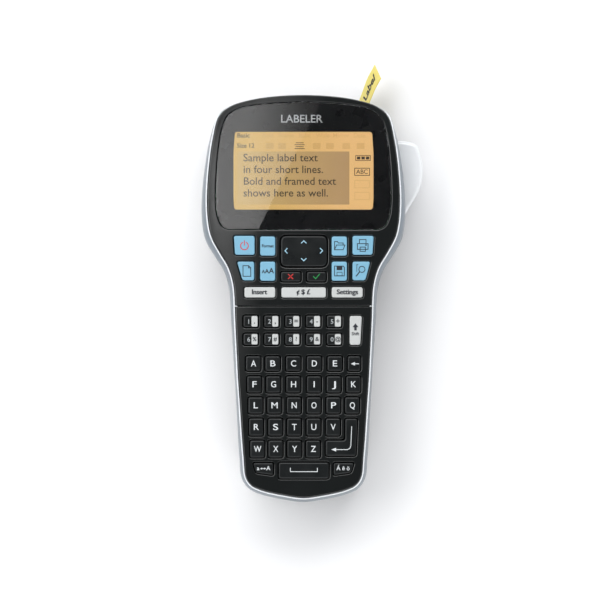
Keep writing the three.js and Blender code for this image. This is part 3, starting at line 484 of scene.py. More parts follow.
class Ink:
    """Collects flat printed marks for each body and colour."""

    def __init__(self):
        self.sheets = {}

    def add(self, body, colour, points, faces):
        held = self.sheets.setdefault((body, colour.name), ([], [], colour))
        start = len(held[0])
        held[0].extend(points)
        held[1].extend(tuple(start + k for k in face) for face in faces)

    def shape(self, body, colour, corners, z):
        order = tuple(range(len(corners)))
        face = order if twice_area(corners) > 0 else order[::-1]
        self.add(body, colour, [place(x, y, z) for x, y in corners], [face])

    def stroke(self, body, colour, path, width, z, closed=False):
        points = [Vector(p) for p in path]
        ends = points[1:] + points[:1] if closed else points[1:]
        for k, (a, b) in enumerate(zip(points, ends)):
            along = (b - a).normalized() * width / 2
            side = Vector((-along.y, along.x))
            corners = [a - along - side, b + along - side, b + along + side, a - along + side]
            self.shape(body, colour, [(p.x, p.y) for p in corners], z + LAYER * k)

    def text(
        self, body, colour, words, x, y, z, size, bold, shear=0.0, align="CENTER", span=None, mapped=None,
    ):
        """Flat letters; span sets their overall width, and mapped lays them on a curved surface."""
        data = bpy.data.curves.new("words", "FONT")
        data.body = words
        data.size = size
        data.align_x = align
        data.align_y = "CENTER"
        data.offset = bold * size * BOLD_OFFSET
        data.shear = shear
        data.resolution_u = LETTER_STEPS
        holder = bpy.data.objects.new("words", data)
        bpy.context.scene.collection.objects.link(holder)
        graph = bpy.context.evaluated_depsgraph_get()
        mesh = bpy.data.meshes.new_from_object(holder.evaluated_get(graph))
        if span:
            left = min(v.co.x for v in mesh.vertices)
            right = max(v.co.x for v in mesh.vertices)
            for vertex in mesh.vertices:
                vertex.co.x = (vertex.co.x - (left + right) / 2) * span / (right - left)
        where = mapped or (lambda u, v: place(x + u, y + v, z))
        points = [where(v.co.x, v.co.y) for v in mesh.vertices]
        self.add(body, colour, points, [tuple(p.vertices) for p in mesh.polygons])
        bpy.data.objects.remove(holder)
        bpy.data.curves.remove(data)
        bpy.data.meshes.remove(mesh)

    def finish(self):
        for (body, colour_name), (points, faces, colour) in self.sheets.items():
            name = "marks_" + body + "_" + colour_name
            make_object(name, mesh_of(name, points, faces), colour, body)


ink = Ink()

# ---------------------------------------------------------------- keys
KEY_TOP = 50.95
KEY_LOW = 46.7
MARK_Z = KEY_TOP + 0.015
KEY_EDGE = 0.45
BLACK_KEY_EDGE = 0.7
KEY_CLEARANCE = 0.4
PAD_CLEARANCE = 0.6
KEY_ROUND = 1.2

KEYS = {
    "power_key": [(-34.1, 31.0), (-33.5, 21.7), (-23.9, 21.7), (-23.9, 31.0)],
    "format_key": rectangle(-21.2, 21.3, -13.8, 30.7),
    "open_key": rectangle(13.8, 21.3, 21.3, 30.7),
    "print_key": [(24.0, 31.0), (34.4, 31.0), (33.8, 21.7), (24.0, 21.7)],
    "new_label_key": [(-32.5, 18.4), (-24.1, 18.4), (-24.1, 9.2), (-29.8, 9.2)],
    "text_size_key": rectangle(-21.2, 9.0, -13.8, 18.4),
    "save_key": rectangle(13.8, 9.0, 21.3, 18.4),
    "preview_key": [(24.0, 18.4), (32.7, 18.4), (30.3, 9.2), (24.0, 9.2)],
    "cancel_key": rectangle(-11.1, 8.6, -1.3, 13.5),
    "confirm_key": rectangle(1.6, 8.6, 11.0, 13.5),
    "insert_key": rectangle(-28.9, 0.8, -13.8, 5.9),
    "currency_key": rectangle(-10.8, 0.8, 11.0, 5.8),
    "settings_key": rectangle(13.8, 0.8, 29.0, 5.9),
    "shift_key": [(22.6, -8.2), (28.6, -8.2), (27.8, -22.4), (22.6, -22.4)],
    "backspace_key": rectangle(21.6, -35.2, 27.9, -27.8),
    "return_key": [
        (20.3, -58.4), (26.4, -58.4), (25.6, -76.8), (10.8, -76.8), (10.8, -69.1), (20.3, -69.1),
    ],
    "caps_key": [(-24.7, -80.1), (-14.8, -80.1), (-14.8, -86.2), (-23.2, -85.0)],
    "space_key": rectangle(-12.2, -87.9, 12.4, -79.9),
    "accents_key": [(14.7, -80.1), (24.7, -80.1), (23.2, -85.0), (14.7, -86.2)],
    "navigation_pad": rectangle(-11.1, 16.0, 11.4, 31.0),
}
BLUE_KEYS = {
    "power_key", "format_key", "open_key", "print_key",
    "new_label_key", "text_size_key", "save_key", "preview_key",
}
WHITE_KEYS = {"insert_key", "currency_key", "settings_key", "shift_key"}
# Keys that move together: the middle X of each, low and high Y, width, letters, symbols.
ROWS = {
    "digits_1_5": ([-25.8, -15.65, -5.4, 4.8, 15.0], (-13.8, -7.9), 7.3, "12345", ".,=-+"),
    "digits_6_0": ([-25.8, -15.65, -5.4, 4.8, 15.0], (-22.5, -16.7), 7.3, "67890", "%#?&@"),
    "letters_a_e": ([-24.6, -15.1, -5.0, 5.2, 15.3], (-35.2, -27.8), 7.3, "ABCDE", ""),
    "letters_f_k": ([-24.1, -14.8, -5.0, 5.1, 14.8, 24.4], (-45.8, -37.6), 7.1, "FGHIJK", ""),
    "letters_l_q": ([-23.5, -14.3, -4.7, 5.0, 14.6, 23.8], (-56.1, -47.9), 7.1, "LMNOPQ", ""),
    "letters_r_v": ([-23.2, -13.8, -4.6, 4.9, 14.4], (-66.9, -58.3), 7.1, "RSTUV", ""),
    "letters_w_z": ([-22.6, -13.7, -4.5, 4.7], (-77.6, -69.1), 7.1, "WXYZ", ""),
}
SYMBOL_SIZE = {"digits_1_5": 3.4, "digits_6_0": 2.8}
LETTER_SPAN = {"E": 2.15, "F": 2.1, "I": 0.62, "J": 1.9, "L": 2.05, "M": 3.1, "T": 2.35, "W": 3.6}
USUAL_SPAN = 2.5
PAD_ROUND = 3.0


def slot_of(name):
    if name in BLUE_KEYS:
        return "key_blue"
    return "key_white" if name in WHITE_KEYS else "key_black"


KEY_MATERIAL = {"key_blue": KEY_BLUE, "key_white": KEY_WHITE, "key_black": KEY_BLACK}
holes = []
slots = {}
for name, corners in KEYS.items():
    radius = PAD_ROUND if name == "navigation_pad" else KEY_ROUND
    slots[name] = slot_of(name)
    cap = plate(
        "cap_" + name, [rounded(corners, radius)], KEY_LOW, KEY_TOP,
        BLACK_KEY_EDGE if slots[name] == "key_black" else KEY_EDGE,
        KEY_MATERIAL[slots[name]], name,
    )
    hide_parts(name)
    gap = PAD_CLEARANCE if name == "navigation_pad" else KEY_CLEARANCE
    holes.append(rounded(grown(corners, gap), radius + gap))

WHITE_HALF = 3.3
HALF_INSET = 0.35
HALF_THICK = 0.6
HALF_ROUND = 0.7
HALF_EDGE = 0.12
HALF_RISE = 0.05
DIGIT_SIZE = 3.1
DIGIT_SHIFT = (-1.0, -0.2)
SYMBOL_SHIFT = -0.15
LETTER_SIZE = 4.25
LETTER_SHIFT = (0.15, -0.1)
for name, (middles, (y0, y1), width, letters, symbols) in ROWS.items():
    slots[name] = "key_black"
    outlines = []
    for x in middles:
        corners = rectangle(x - width / 2, y0, x + width / 2, y1)
        outlines.append(rounded(corners, KEY_ROUND))
        holes.append(rounded(grown(corners, KEY_CLEARANCE), KEY_ROUND + KEY_CLEARANCE))
    top = KEY_TOP - (HALF_RISE if symbols else 0)
    caps = plate("caps_" + name, outlines, KEY_LOW, top, BLACK_KEY_EDGE, KEY_BLACK, name)
    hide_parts(name)
    if symbols:
        halves = []
        for x in middles:
            right = x + width / 2
            half = rectangle(right - WHITE_HALF, y0 + HALF_INSET, right - HALF_INSET, y1 - HALF_INSET)
            halves.append(rounded(half, HALF_ROUND))
        low = KEY_TOP - HALF_THICK
        plate("halves_" + name, halves, low, KEY_TOP, HALF_EDGE, KEY_WHITE, name)
    middle_y = (y0 + y1) / 2
    for i, x in enumerate(middles):
        across, up = DIGIT_SHIFT if symbols else LETTER_SHIFT
        spot = (x + across, middle_y + up, MARK_Z)
        if symbols:
            symbol_x = x + (width - WHITE_HALF) / 2 + SYMBOL_SHIFT
            ink.text(name, INK_GREY, letters[i], *spot, DIGIT_SIZE, bold=0.3)
            ink.text(name, INK_DARK, symbols[i], symbol_x, middle_y, MARK_Z, SYMBOL_SIZE[name], bold=1.2)
        else:
            wide = LETTER_SPAN.get(letters[i], USUAL_SPAN)
            ink.text(name, INK_WHITE, letters[i], *spot, LETTER_SIZE, bold=0.4, span=wide)

# ---------------------------------------------------------------- fascias
FASCIA_LOW = 47.0
FASCIA_EDGE = 0.4
SEAM_Y = -3.4
SEAM_HALF = 0.2
WINDOW_GAP = 0.3
fascia_outline = inset_outline(margin)
# The right half of the window's outline, from the top down.
WINDOW_HALF = [
    (0, 96.7), (20.4, 95.4), (31.5, 93.4), (36.8, 90.2), (39.6, 84.3), (41.9, 70.3), (42.8, 46.9),
    (41.9, 40.3), (39.6, 35.6), (36.5, 34.2),
]
window_half = [(p.x, p.y) for p in through(WINDOW_HALF, 14)]
WINDOW = window_half + [(-x, y) for x, y in reversed(window_half[1:])]


def cut_at(points, level, keep_above):
    """The part of a closed outline on one side of a level."""
    kept = []
    for a, b in zip(points, points[1:] + points[:1]):
        inside_a = (a[1] > level) == keep_above
        inside_b = (b[1] > level) == keep_above
        if inside_a:
            kept.append(a)
        if inside_a != inside_b:
            share = (level - a[1]) / (b[1] - a[1])
            kept.append((a[0] + (b[0] - a[0]) * share, level))
    return kept


def in_half(outline, above):
    return (sum(y for _, y in outline) / len(outline) > SEAM_Y) == above


upper_holes = [h for h in holes if in_half(h, True)] + [grown(WINDOW, WINDOW_GAP)]
lower_holes = [h for h in holes if in_half(h, False)]
upper_edge = cut_at(fascia_outline, SEAM_Y + SEAM_HALF, True)
lower_edge = cut_at(fascia_outline, SEAM_Y - SEAM_HALF, False)
for name, node, outlines in (
    ("front_upper", "upper_fascia", [upper_edge] + upper_holes),
    ("front_lower", "lower_fascia", [lower_edge] + lower_holes),
):
    front = plate(name, outlines, FASCIA_LOW, FACE_Z, FASCIA_EDGE, GLOSS_BLACK, "body")
    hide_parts(node)

# ---------------------------------------------------------------- silver frame
SPLIT_Z = 33.8
GAP = 0.35
RIM_Z = 49.4
FRAME_WALL = 2.6
LIP_WIDTH = 1.1
NARROW = 1.5  # under this much margin the band starts to dip
TUCK_Z = FASCIA_LOW - GAP


def frame_ring(z, distance):
    """One ring of the silver frame. Where the band narrows to nothing it dips under the fascia."""
    ring = []
    for (x, y), point in zip(inset_outline(distance), OUTLINE):
        share = min(1.0, max(0.0, margin(point.y) / NARROW))
        height = z if z <= TUCK_Z else TUCK_Z + (z - TUCK_Z) * share
        ring.append(place(x, y, height))
    return ring


def band_part(share):
    """How far in the slope of the band is, as a share of its way from the outline to the lip."""
    return lambda y: max(0.0, share * (margin(y) - LIP_WIDTH))


def lip_part(least, short):
    """How far in the lip is: short of the fascia's edge by a distance, but never under the least."""
    return lambda y: max(least, margin(y) - short)


FRAME_RINGS = [
    (SPLIT_Z + GAP, 0.25), (SPLIT_Z + GAP + 0.3, 0.0), (42.0, 0.0), (44.0, band_part(0.12)),
    (46.0, band_part(0.34)), (47.6, band_part(0.66)), (48.6, band_part(0.92)), (48.9, band_part(1.0)),
    (49.2, lip_part(0.05, 1.02)), (RIM_Z, lip_part(0.1, 0.88)), (RIM_Z, lip_part(0.2, 0.45)),
    (RIM_Z - 0.15, lip_part(0.3, GAP)), (TUCK_Z, lip_part(0.4, GAP)), (TUCK_Z, FRAME_WALL),
    (SPLIT_Z + GAP, FRAME_WALL),
]
BOX_SIDES = [(0, 1, 3, 2), (4, 6, 7, 5), (0, 4, 5, 1), (2, 3, 7, 6), (0, 2, 6, 4), (1, 5, 7, 3)]


def with_cuts(mesh, boxes):
    """The mesh with boxes cut out of it."""
    holder = bpy.data.objects.new("holder", mesh)
    bpy.context.scene.collection.objects.link(holder)
    tools = []
    for low, high in boxes:
        corners = [place(*corner) for corner in itertools.product(*zip(low, high))]
        tool = bpy.data.objects.new("tool", mesh_of("tool", corners, BOX_SIDES))
        bpy.context.scene.collection.objects.link(tool)
        cut = holder.modifiers.new("cut", "BOOLEAN")
        cut.operation = "DIFFERENCE"
        cut.object = tool
        tools.append(tool)
    graph = bpy.context.evaluated_depsgraph_get()
    done = bpy.data.meshes.new_from_object(holder.evaluated_get(graph))
    for each in [holder, *tools]:
        bpy.data.objects.remove(each)
    return done


USB_CUT = ((-20, 87, 35.4), (-12, 110, 39))
JACK_CUT = ((-5.9, 87, 30.2), (2.9, 110, 39))
# These lip rows of the silver band take the painted highlight colour instead of the silver.
LIP_ROWS = {8, 9, 10}  # the rows of faces that run from each of these frame rings to the next
band_mesh = rings_mesh("band", [frame_ring(z, inset) for z, inset in FRAME_RINGS], closed=True)
for material in (SILVER, LIP_PAINTED_HIGHLIGHT):
    band_mesh.materials.append(material)
for polygon in band_mesh.polygons:
    if polygon.index // OUTLINE_STEPS in LIP_ROWS:
        polygon.material_index = 1
band_mesh = with_cuts(band_mesh, [USB_CUT, JACK_CUT])
band = make_object("band", band_mesh, None, "body", sharp=40)
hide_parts("silver_frame")

SEAM_NUB = (32.5, 33.9)
NUB_HALF = 0.18
NUB_EDGE = 0.08
# The seam nubs are part of the silver lip, drawn in the lip's painted highlight colour.
for name, way in (("seam_nub_left", -1), ("seam_nub_right", 1)):
    ends = sorted(way * x for x in SEAM_NUB)
    outline = rectangle(ends[0], SEAM_Y - NUB_HALF, ends[1], SEAM_Y + NUB_HALF)
    nub = plate(name, [outline], TUCK_Z, FACE_Z - 0.05, NUB_EDGE, LIP_PAINTED_HIGHLIGHT, "body")
    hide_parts("silver_frame")

# ---------------------------------------------------------------- display
SCREEN = rectangle(-34.2, 43.7, 34.2, 82.0)
SCREEN_CASE_LOW = 42.2
SCREEN_LOW = 46.6
SCREEN_TOP = 47.9
SCREEN_CASE_RIM = 3.4
SCREEN_CASE_EDGE = 0.3
SHEET_EDGE = 0.05
PANE_EDGE = 0.15
MASK_LOW = 48.35
MASK_TOP = 49.0
MASK_HOLE = [
    (-33.9, 43.9), (33.9, 43.9), (34.4, 50), (34.4, 70), (33.6, 82.0), (-33.6, 82.0), (-34.4, 70),
    (-34.4, 50),
]
mask = plate(
    "window_mask", [grown(WINDOW, -0.05), rounded(MASK_HOLE, 1.5)],
    MASK_LOW, MASK_TOP, SHEET_EDGE, MASK_BLACK, "body",
)
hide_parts("display_window")
pane = plate(
    "window_pane", [WINDOW], MASK_TOP + 0.05, FACE_Z - 0.02, PANE_EDGE, WINDOW_GLASS, "body",
)
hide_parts("display_window")
screen_case = plate(
    "screen_case", [rounded(grown(SCREEN, SCREEN_CASE_RIM), 2)],
    SCREEN_CASE_LOW, SCREEN_LOW, SCREEN_CASE_EDGE, DARK_STEEL, "body",
)
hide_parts("lcd_panel")
screen = plate(
    "screen", [rounded(grown(SCREEN, 0.1), 1)],
    SCREEN_LOW, SCREEN_TOP, SHEET_EDGE, AMBER, "body",
)
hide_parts("lcd_panel")
LCD_Z = SCREEN_TOP + 0.03
LCD_INK_Z = LCD_Z + 0.03
SCREEN_LINE = 0.35
THIN = 0.3
TEXT_FIELD = rounded(rectangle(-32.4, 46.4, 22.5, 72.4), 0.3)
ink.shape("body", TAN, TEXT_FIELD, LCD_Z)
SCREEN_LINES = ["Sample label text", "in four short lines.", "Bold and framed text", "shows here as well."]
TEXT_START = (-29.6, 69.2)
TEXT_SIZE = 5.3
TEXT_PITCH = 5.75
STATUS_X = -32.6
STATUS_Y = 80.2
STATUS_SIZE = 3.0
MENU_START = -17.5
MENU_PITCH = 9.0
for i, words in enumerate(SCREEN_LINES):
    y = TEXT_START[1] - TEXT_PITCH * i
    ink.text("body", SCREEN_INK, words, TEXT_START[0], y, LCD_INK_Z, TEXT_SIZE, bold=0.35, align="LEFT")
ink.text("body", SCREEN_INK, "Basic", STATUS_X, STATUS_Y, LCD_INK_Z, 3.1, bold=0.8, align="LEFT")
ink.text("body", SCREEN_INK, "Size 12", STATUS_X, 75.2, LCD_INK_Z, STATUS_SIZE, bold=0.8, align="LEFT")
for i, words in enumerate(("Bold", "Frame", "Italic", "Wide", "Mirror", "Date")):
    x = MENU_START + MENU_PITCH * i
    ink.text("body", SCREEN_FAINT, words, x, STATUS_Y, LCD_INK_Z, STATUS_SIZE, bold=0.4)
CENTRED_TEXT_ICON = [(-4.2, 0.4, 73.8), (-3.7, -0.1, 74.75), (-4.2, 0.4, 75.7), (-3.7, -0.1, 76.65)]
for left, right, y in CENTRED_TEXT_ICON:
    ink.stroke("body", SCREEN_INK, [(left, y), (right, y)], SCREEN_LINE, LCD_INK_Z)
FAINT_ICONS = (-16.5, -10.5, 6.5, 13.0, 21.0, 28.0)
FAINT_HALF = 1.9
for x in FAINT_ICONS:
    icon = rounded(rectangle(x - FAINT_HALF, 73.6, x + FAINT_HALF, 76.6), 0.4)
    ink.shape("body", SCREEN_FAINT, icon, LCD_INK_Z)
BATTERY_CELLS = (26.2, 28.4, 30.6)
CELL_WIDTH = 1.7
for x in BATTERY_CELLS:
    ink.shape("body", SCREEN_INK, rectangle(x, 68.5, x + CELL_WIDTH, 69.9), LCD_INK_Z)
ink.stroke("body", SCREEN_INK, rectangle(25.6, 68.0, 32.8, 70.4), THIN, LCD_INK_Z, True)
ink.stroke("body", SCREEN_INK, rectangle(25.1, 60.7, 32.4, 64.2), SCREEN_LINE, LCD_INK_Z, True)
ink.text("body", SCREEN_INK, "ABC", 28.75, 62.4, LCD_INK_Z, 3.0, bold=0.5)
for y in (54.6, 48.8):
    ink.stroke("body", SCREEN_FAINT, rectangle(25.1, y, 32.4, y + 3.6), SCREEN_LINE, LCD_INK_Z, True)
WORDMARK_Z = MASK_TOP + 0.02  # on the mask, under the pane
ink.text("body", INK_WHITE, "LABELER", -1.0, 88.2, WORDMARK_Z, 5.4, bold=0.5)
slots["body"] = "gloss_black"

# ---------------------------------------------------------------- icons on the keys
LINE = 0.38
THICK = 0.42
WHITE_LINE = 0.34
ARC_STEPS = 14


def arc(x, y, radius, start, end):
    turns = [math.radians(start + (end - start) * k / ARC_STEPS) for k in range(ARC_STEPS + 1)]
    return [(x + radius * math.cos(t), y + radius * math.sin(t)) for t in turns]


ink.stroke("power_key", INK_RED, arc(-28.9, 26.1, 1.9, 120, 420), THICK, MARK_Z)
ink.stroke("power_key", INK_RED, [(-28.9, 26.4), (-28.9, 28.6)], THICK, MARK_Z)
ink.text("format_key", INK_DARK, "Format", -17.5, 26.0, MARK_Z, 2.0, bold=1.6)
for x, y, size in ((-19.6, 13.4, 2.3), (-17.9, 13.6, 2.9), (-15.7, 13.8, 3.6)):
    ink.text("text_size_key", INK_DARK, "A", x, y, MARK_Z, size, bold=1.2)
FOLDER_BACK = [(15.2, 24.2), (15.2, 28.2), (16.6, 28.2), (17.1, 27.5), (19.4, 27.5), (19.4, 26.5)]
ink.stroke("open_key", INK_DARK, FOLDER_BACK, LINE, MARK_Z)
ink.stroke("open_key", INK_DARK, [(15.2, 24.2), (16.2, 26.5), (20.3, 26.5), (19.4, 24.2)], LINE, MARK_Z, True)
ink.stroke("print_key", INK_DARK, rectangle(26.4, 24.4, 31.6, 27.2), LINE, MARK_Z, True)
ink.stroke("print_key", INK_DARK, [(27.4, 27.2), (27.4, 29.2), (30.6, 29.2), (30.6, 27.2)], LINE, MARK_Z)
ink.stroke("print_key", INK_DARK, rectangle(27.7, 23.4, 30.3, 25.5), LINE, MARK_Z, True)
ink.shape("print_key", INK_DARK, rectangle(30.2, 26.2, 31.0, 26.8), MARK_Z)
PAGE = [(-29.6, 11.2), (-29.6, 16.4), (-26.9, 16.4), (-25.8, 15.3), (-25.8, 11.2)]
ink.stroke("new_label_key", INK_DARK, PAGE, LINE, MARK_Z, True)
ink.stroke("new_label_key", INK_DARK, [(-26.9, 16.4), (-26.9, 15.3), (-25.8, 15.3)], LINE, MARK_Z)
DISK = [(15.2, 11.4), (15.2, 16.2), (19.4, 16.2), (20.0, 15.6), (20.0, 11.4)]
ink.stroke("save_key", INK_DARK, DISK, LINE, MARK_Z, True)
ink.shape("save_key", INK_DARK, rectangle(16.2, 14.2, 19.0, 16.1), MARK_Z)
ink.stroke("save_key", INK_DARK, rectangle(16.4, 11.5, 18.9, 13.2), THIN, MARK_Z, True)
ink.stroke("preview_key", INK_DARK, arc(28.6, 14.6, 1.5, 0, 360), LINE, MARK_Z)
ink.stroke("preview_key", INK_DARK, [(27.5, 13.4), (25.9, 11.4)], 0.55, MARK_Z)
ink.stroke("preview_key", INK_DARK, [(26.6, 16.9), (26.1, 16.9), (26.1, 13.6)], THIN, MARK_Z)
CHEVRON_TIPS = {(0, 1): (0.15, 28.6), (0, -1): (0.15, 18.8), (1, 0): (9.35, 23.7), (-1, 0): (-9.05, 23.7)}
CHEVRON_HALF = 1.15
CHEVRON_DEEP = 1.1
for way, tip in CHEVRON_TIPS.items():
    back = Vector(tip) - Vector(way) * CHEVRON_DEEP
    side = Vector((-way[1], way[0])) * CHEVRON_HALF
    ink.stroke("navigation_pad", INK_PALE_BLUE, [back + side, tip, back - side], THICK, MARK_Z)
for start, end in ((10.0, 12.2), (12.2, 10.0)):
    ink.stroke("cancel_key", INK_RED, [(-7.4, start), (-5.2, end)], THICK, MARK_Z)
ink.stroke("confirm_key", INK_GREEN, [(4.9, 11.1), (5.9, 10.0), (7.9, 12.3)], 0.32, MARK_Z)
WHITE_KEY_WORDS = {
    "insert_key": ("Insert", -21.5, 7.4),
    "currency_key": ("¢ $ £", 0.0, 6.6),
    "settings_key": ("Settings", 21.5, 10.3),
}
DOUBLE_STRIKE = 0.09
for name, (words, x, wide) in WHITE_KEY_WORDS.items():
    for k, nudge in enumerate((-DOUBLE_STRIKE, DOUBLE_STRIKE)):
        ink.text(name, INK_DARK, words, x + nudge, 3.45, MARK_Z + LAYER * k, 3.4, bold=0.9, span=wide)
SHIFT_ARROW = [
    (25.45, -11.8), (26.9, -13.7), (26.05, -13.7), (26.05, -15.3), (24.85, -15.3), (24.85, -13.7),
    (24.0, -13.7),
]
ink.shape("shift_key", INK_DARK, SHIFT_ARROW, MARK_Z)
ink.text("shift_key", INK_DARK, "Shift", 25.4, -17.0, MARK_Z, 2.1, bold=1.6)
ink.stroke("backspace_key", INK_WHITE, [(27.0, -31.6), (25.4, -31.6)], LINE, MARK_Z)
ink.shape("backspace_key", INK_WHITE, [(23.2, -31.6), (25.2, -30.7), (25.2, -32.5)], MARK_Z)
RETURN_LINE = [(23.6, -62.4), (23.2, -71.4), (22.8, -72.9), (21.6, -73.6), (16.2, -73.6)]
ink.stroke("return_key", INK_WHITE, RETURN_LINE, WHITE_LINE, MARK_Z)
ink.shape("return_key", INK_WHITE, [(13.6, -73.6), (16.0, -72.7), (16.0, -74.5)], MARK_Z)
CAPS_SIZE = 2.9
ink.text("caps_key", INK_WHITE, "a", -22.2, -82.8, MARK_Z, CAPS_SIZE, bold=0.6)
ink.text("caps_key", INK_WHITE, "A", -17.2, -82.8, MARK_Z, CAPS_SIZE, bold=0.6)
ink.stroke("caps_key", INK_WHITE, [(-20.8, -82.9), (-18.7, -82.9)], THIN, MARK_Z)
for tip_x, base_x in ((-21.2, -20.3), (-18.3, -19.2)):
    ink.shape("caps_key", INK_WHITE, [(tip_x, -82.9), (base_x, -82.4), (base_x, -83.4)], MARK_Z + LAYER)
SPACE_LINE = [(-6.4, -82.7), (-6.4, -84.4), (6.8, -84.4), (6.8, -82.7)]
ink.stroke("space_key", INK_WHITE, SPACE_LINE, WHITE_LINE, MARK_Z)
ink.text("accents_key", INK_WHITE, "Á ê ö", 19.4, -82.8, MARK_Z, CAPS_SIZE, bold=0.6)

# ---------------------------------------------------------------- cutter lever
LEVER_EDGE = [
    (43.4, 78.6), (52.4, 77.9), (55.9, 76.4), (57.7, 72.2), (58.9, 66.2), (58.7, 59.8), (57.2, 53.8),
    (54.5, 48.8), (51.9, 44.6), (50.1, 41.2),
]
LEVER_INSIDE = [(47.5, 40), (43, 41.5), (42, 46)]
LEVER_LOW = 10.0
LEVER_TOP = 32.6
LEVER_ROUND = 1.8
lever_side = [(p.x, p.y) for p in through(LEVER_EDGE, 8)]
lever = plate(
    "lever_paddle", [lever_side + LEVER_INSIDE], LEVER_LOW, LEVER_TOP, LEVER_ROUND,
    LEVER_SILVER, "lever", steps=8,
)
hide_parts("cutter_lever")
PIVOT = (45.5, 43.5)
TRUNNION = 2.0
PIN_SIDES = 40
PIN_LOW = 6.0
PIN_TOP = 37.0
PIN_EDGE = 0.2
pin_outline = []
for k in range(PIN_SIDES):
    turn = math.tau * k / PIN_SIDES
    pin_outline.append((PIVOT[0] + TRUNNION * math.cos(turn), PIVOT[1] + TRUNNION * math.sin(turn)))
pin = plate("lever_pin", [pin_outline], PIN_LOW, PIN_TOP, PIN_EDGE, LEVER_SILVER, "lever")
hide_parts("cutter_lever")
FINGER = [
    (43.4, 76), (44.8, 76), (42.3, 80), (40.5, 84), (39.4, 87.0), (37.6, 87.0), (37.6, 84.4), (40.6, 78),
]
FINGER_LOW = 15
FINGER_TOP = 25
finger = plate(
    "lever_finger", [FINGER], FINGER_LOW, FINGER_TOP, PIN_EDGE, LEVER_SILVER, "lever",
)
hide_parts("cutter_lever")

# ---------------------------------------------------------------- lever return spring
SPRING_Y = 62.0
SPRING_Z = 20.0
SPRING_START = 37.85
SPRING_END = 42.4
SPRING_RADIUS = 2.2
SPRING_TURNS = 4
WIRE = 0.33
WIRE_SIDES = 10
TURN_STEPS = 28


def wire_ring(step):
    """A ring of points round the wire, at one step along the coil."""
    share = step / (SPRING_TURNS * TURN_STEPS)
    turn = math.tau * step / TURN_STEPS
    ring = []
    for side in range(WIRE_SIDES):
        angle = -math.tau * side / WIRE_SIDES
        reach = SPRING_RADIUS + WIRE * math.cos(angle)
        ring.append(place(
            SPRING_START + (SPRING_END - SPRING_START) * share + WIRE * math.sin(angle),
            SPRING_Y + reach * math.cos(turn), SPRING_Z + reach * math.sin(turn),
        ))
    return ring


wire_rings = [wire_ring(step) for step in range(SPRING_TURNS * TURN_STEPS + 1)]
spring_mesh = rings_mesh("lever_return_spring", wire_rings, closed=False)
spring = make_object("lever_return_spring", spring_mesh, STEEL, "body")
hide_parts("lever_spring")
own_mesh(spring)

# ---------------------------------------------------------------- printed label
# Stations along the label: its middle, and half its width as a vector.
LABEL = [
    ((29.0, 91.0, 15.0), (0.0, 0.0, 6.0)), ((29.6, 95.0, 15.0), (1.4, -0.4, 5.8)),
    ((30.4, 98.4, 15.1), (2.3, -0.7, 5.5)), ((32.2, 103.2, 15.9), (2.1, -1.8, 5.3)),
    ((34.1, 108.0, 17.0), (1.8, -2.9, 4.9)), ((37.2, 113.7, 19.4), (1.4, -3.7, 4.5)),
]
LABEL_THICK = 0.36
LABEL_STEPS = 60
LABEL_COLUMNS = 8
label_middle = through([at for at, _ in LABEL], 16)
label_half = through([half for _, half in LABEL], 16)
runs = [0.0]
for a, b in zip(label_middle, label_middle[1:]):
    runs.append(runs[-1] + (b - a).length)


def label_frame(run):
    """The label's middle, its half width and the way out of its face, at a distance along it."""
    k = 0
    while k < len(runs) - 2 and runs[k + 1] < run:
        k += 1
    share = min(1.0, max(0.0, (run - runs[k]) / (runs[k + 1] - runs[k])))
    middle = label_middle[k].lerp(label_middle[k + 1], share)
    half = label_half[k].lerp(label_half[k + 1], share)
    along = label_middle[k + 1] - label_middle[k]
    return middle, half, half.cross(along).normalized()


label_rings = []
shares = [1 - 2 * k / LABEL_COLUMNS for k in range(LABEL_COLUMNS + 1)]
for step in range(LABEL_STEPS + 1):
    middle, half, out = label_frame(runs[-1] * step / LABEL_STEPS)
    one_face = [place(*(middle + half * share + out * LABEL_THICK / 2)) for share in shares]
    other_face = [place(*(middle - half * share - out * LABEL_THICK / 2)) for share in shares]
    label_rings.append(one_face + other_face)
label_mesh = rings_mesh("label_strip", label_rings, closed=False)
label = make_object("label_strip", label_mesh, YELLOW, "body", sharp=50)
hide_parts("printed_label")
LABEL_SIDE = 1.0 if label_frame(runs[-1] * 0.9)[2].z > 0 else -1.0  # which face looks up at the free end
WORD_START = 16.6  # how far the printed word begins from the label's free end


def on_label(u, v):
    """A point of the printed word, u along the label and v across it, just above its upper face."""
    middle, half, out = label_frame(runs[-1] - WORD_START + u)
    spot = middle + half.normalized() * (-v) * LABEL_SIDE + out * LABEL_SIDE * (LABEL_THICK / 2 + 0.03)
    return place(*spot)


ink.text("body", MASK_BLACK, "Label", 0, 0, 0, 6.2, bold=1.6, shear=0.25, align="LEFT", mapped=on_label)

ink.finish()

# ---------------------------------------------------------------- carried-over nodes
CARRIED = {
    DULL_BLACK: ["rear_housing", "cassette_door", "battery_door", "ribbon_takeup_spool", "power_jack"],
    CLEAR: ["cassette_window"],
    STEEL: [
        "housing_screw_1", "housing_screw_2", "housing_screw_3", "housing_screw_4", "cutter_blade",
        "drive_motor", "mechanism_plate", "usb_socket",
    ],
    DARK_STEEL: ["print_head"],
    RUBBER: ["keypad_mat", "platen_roller"],
    NYLON: ["navigation_gimbal", "platen_gear", "motor_pinion", "takeup_gear"],
    CASE_GREY: ["cassette_case"],
    YELLOW: ["tape_roll"],
    BOARD: ["main_board"],
    BATTERY: ["battery_pack"],
}
SMOOTH_UNDER = math.radians(32)
WELD = 0.01 * MM


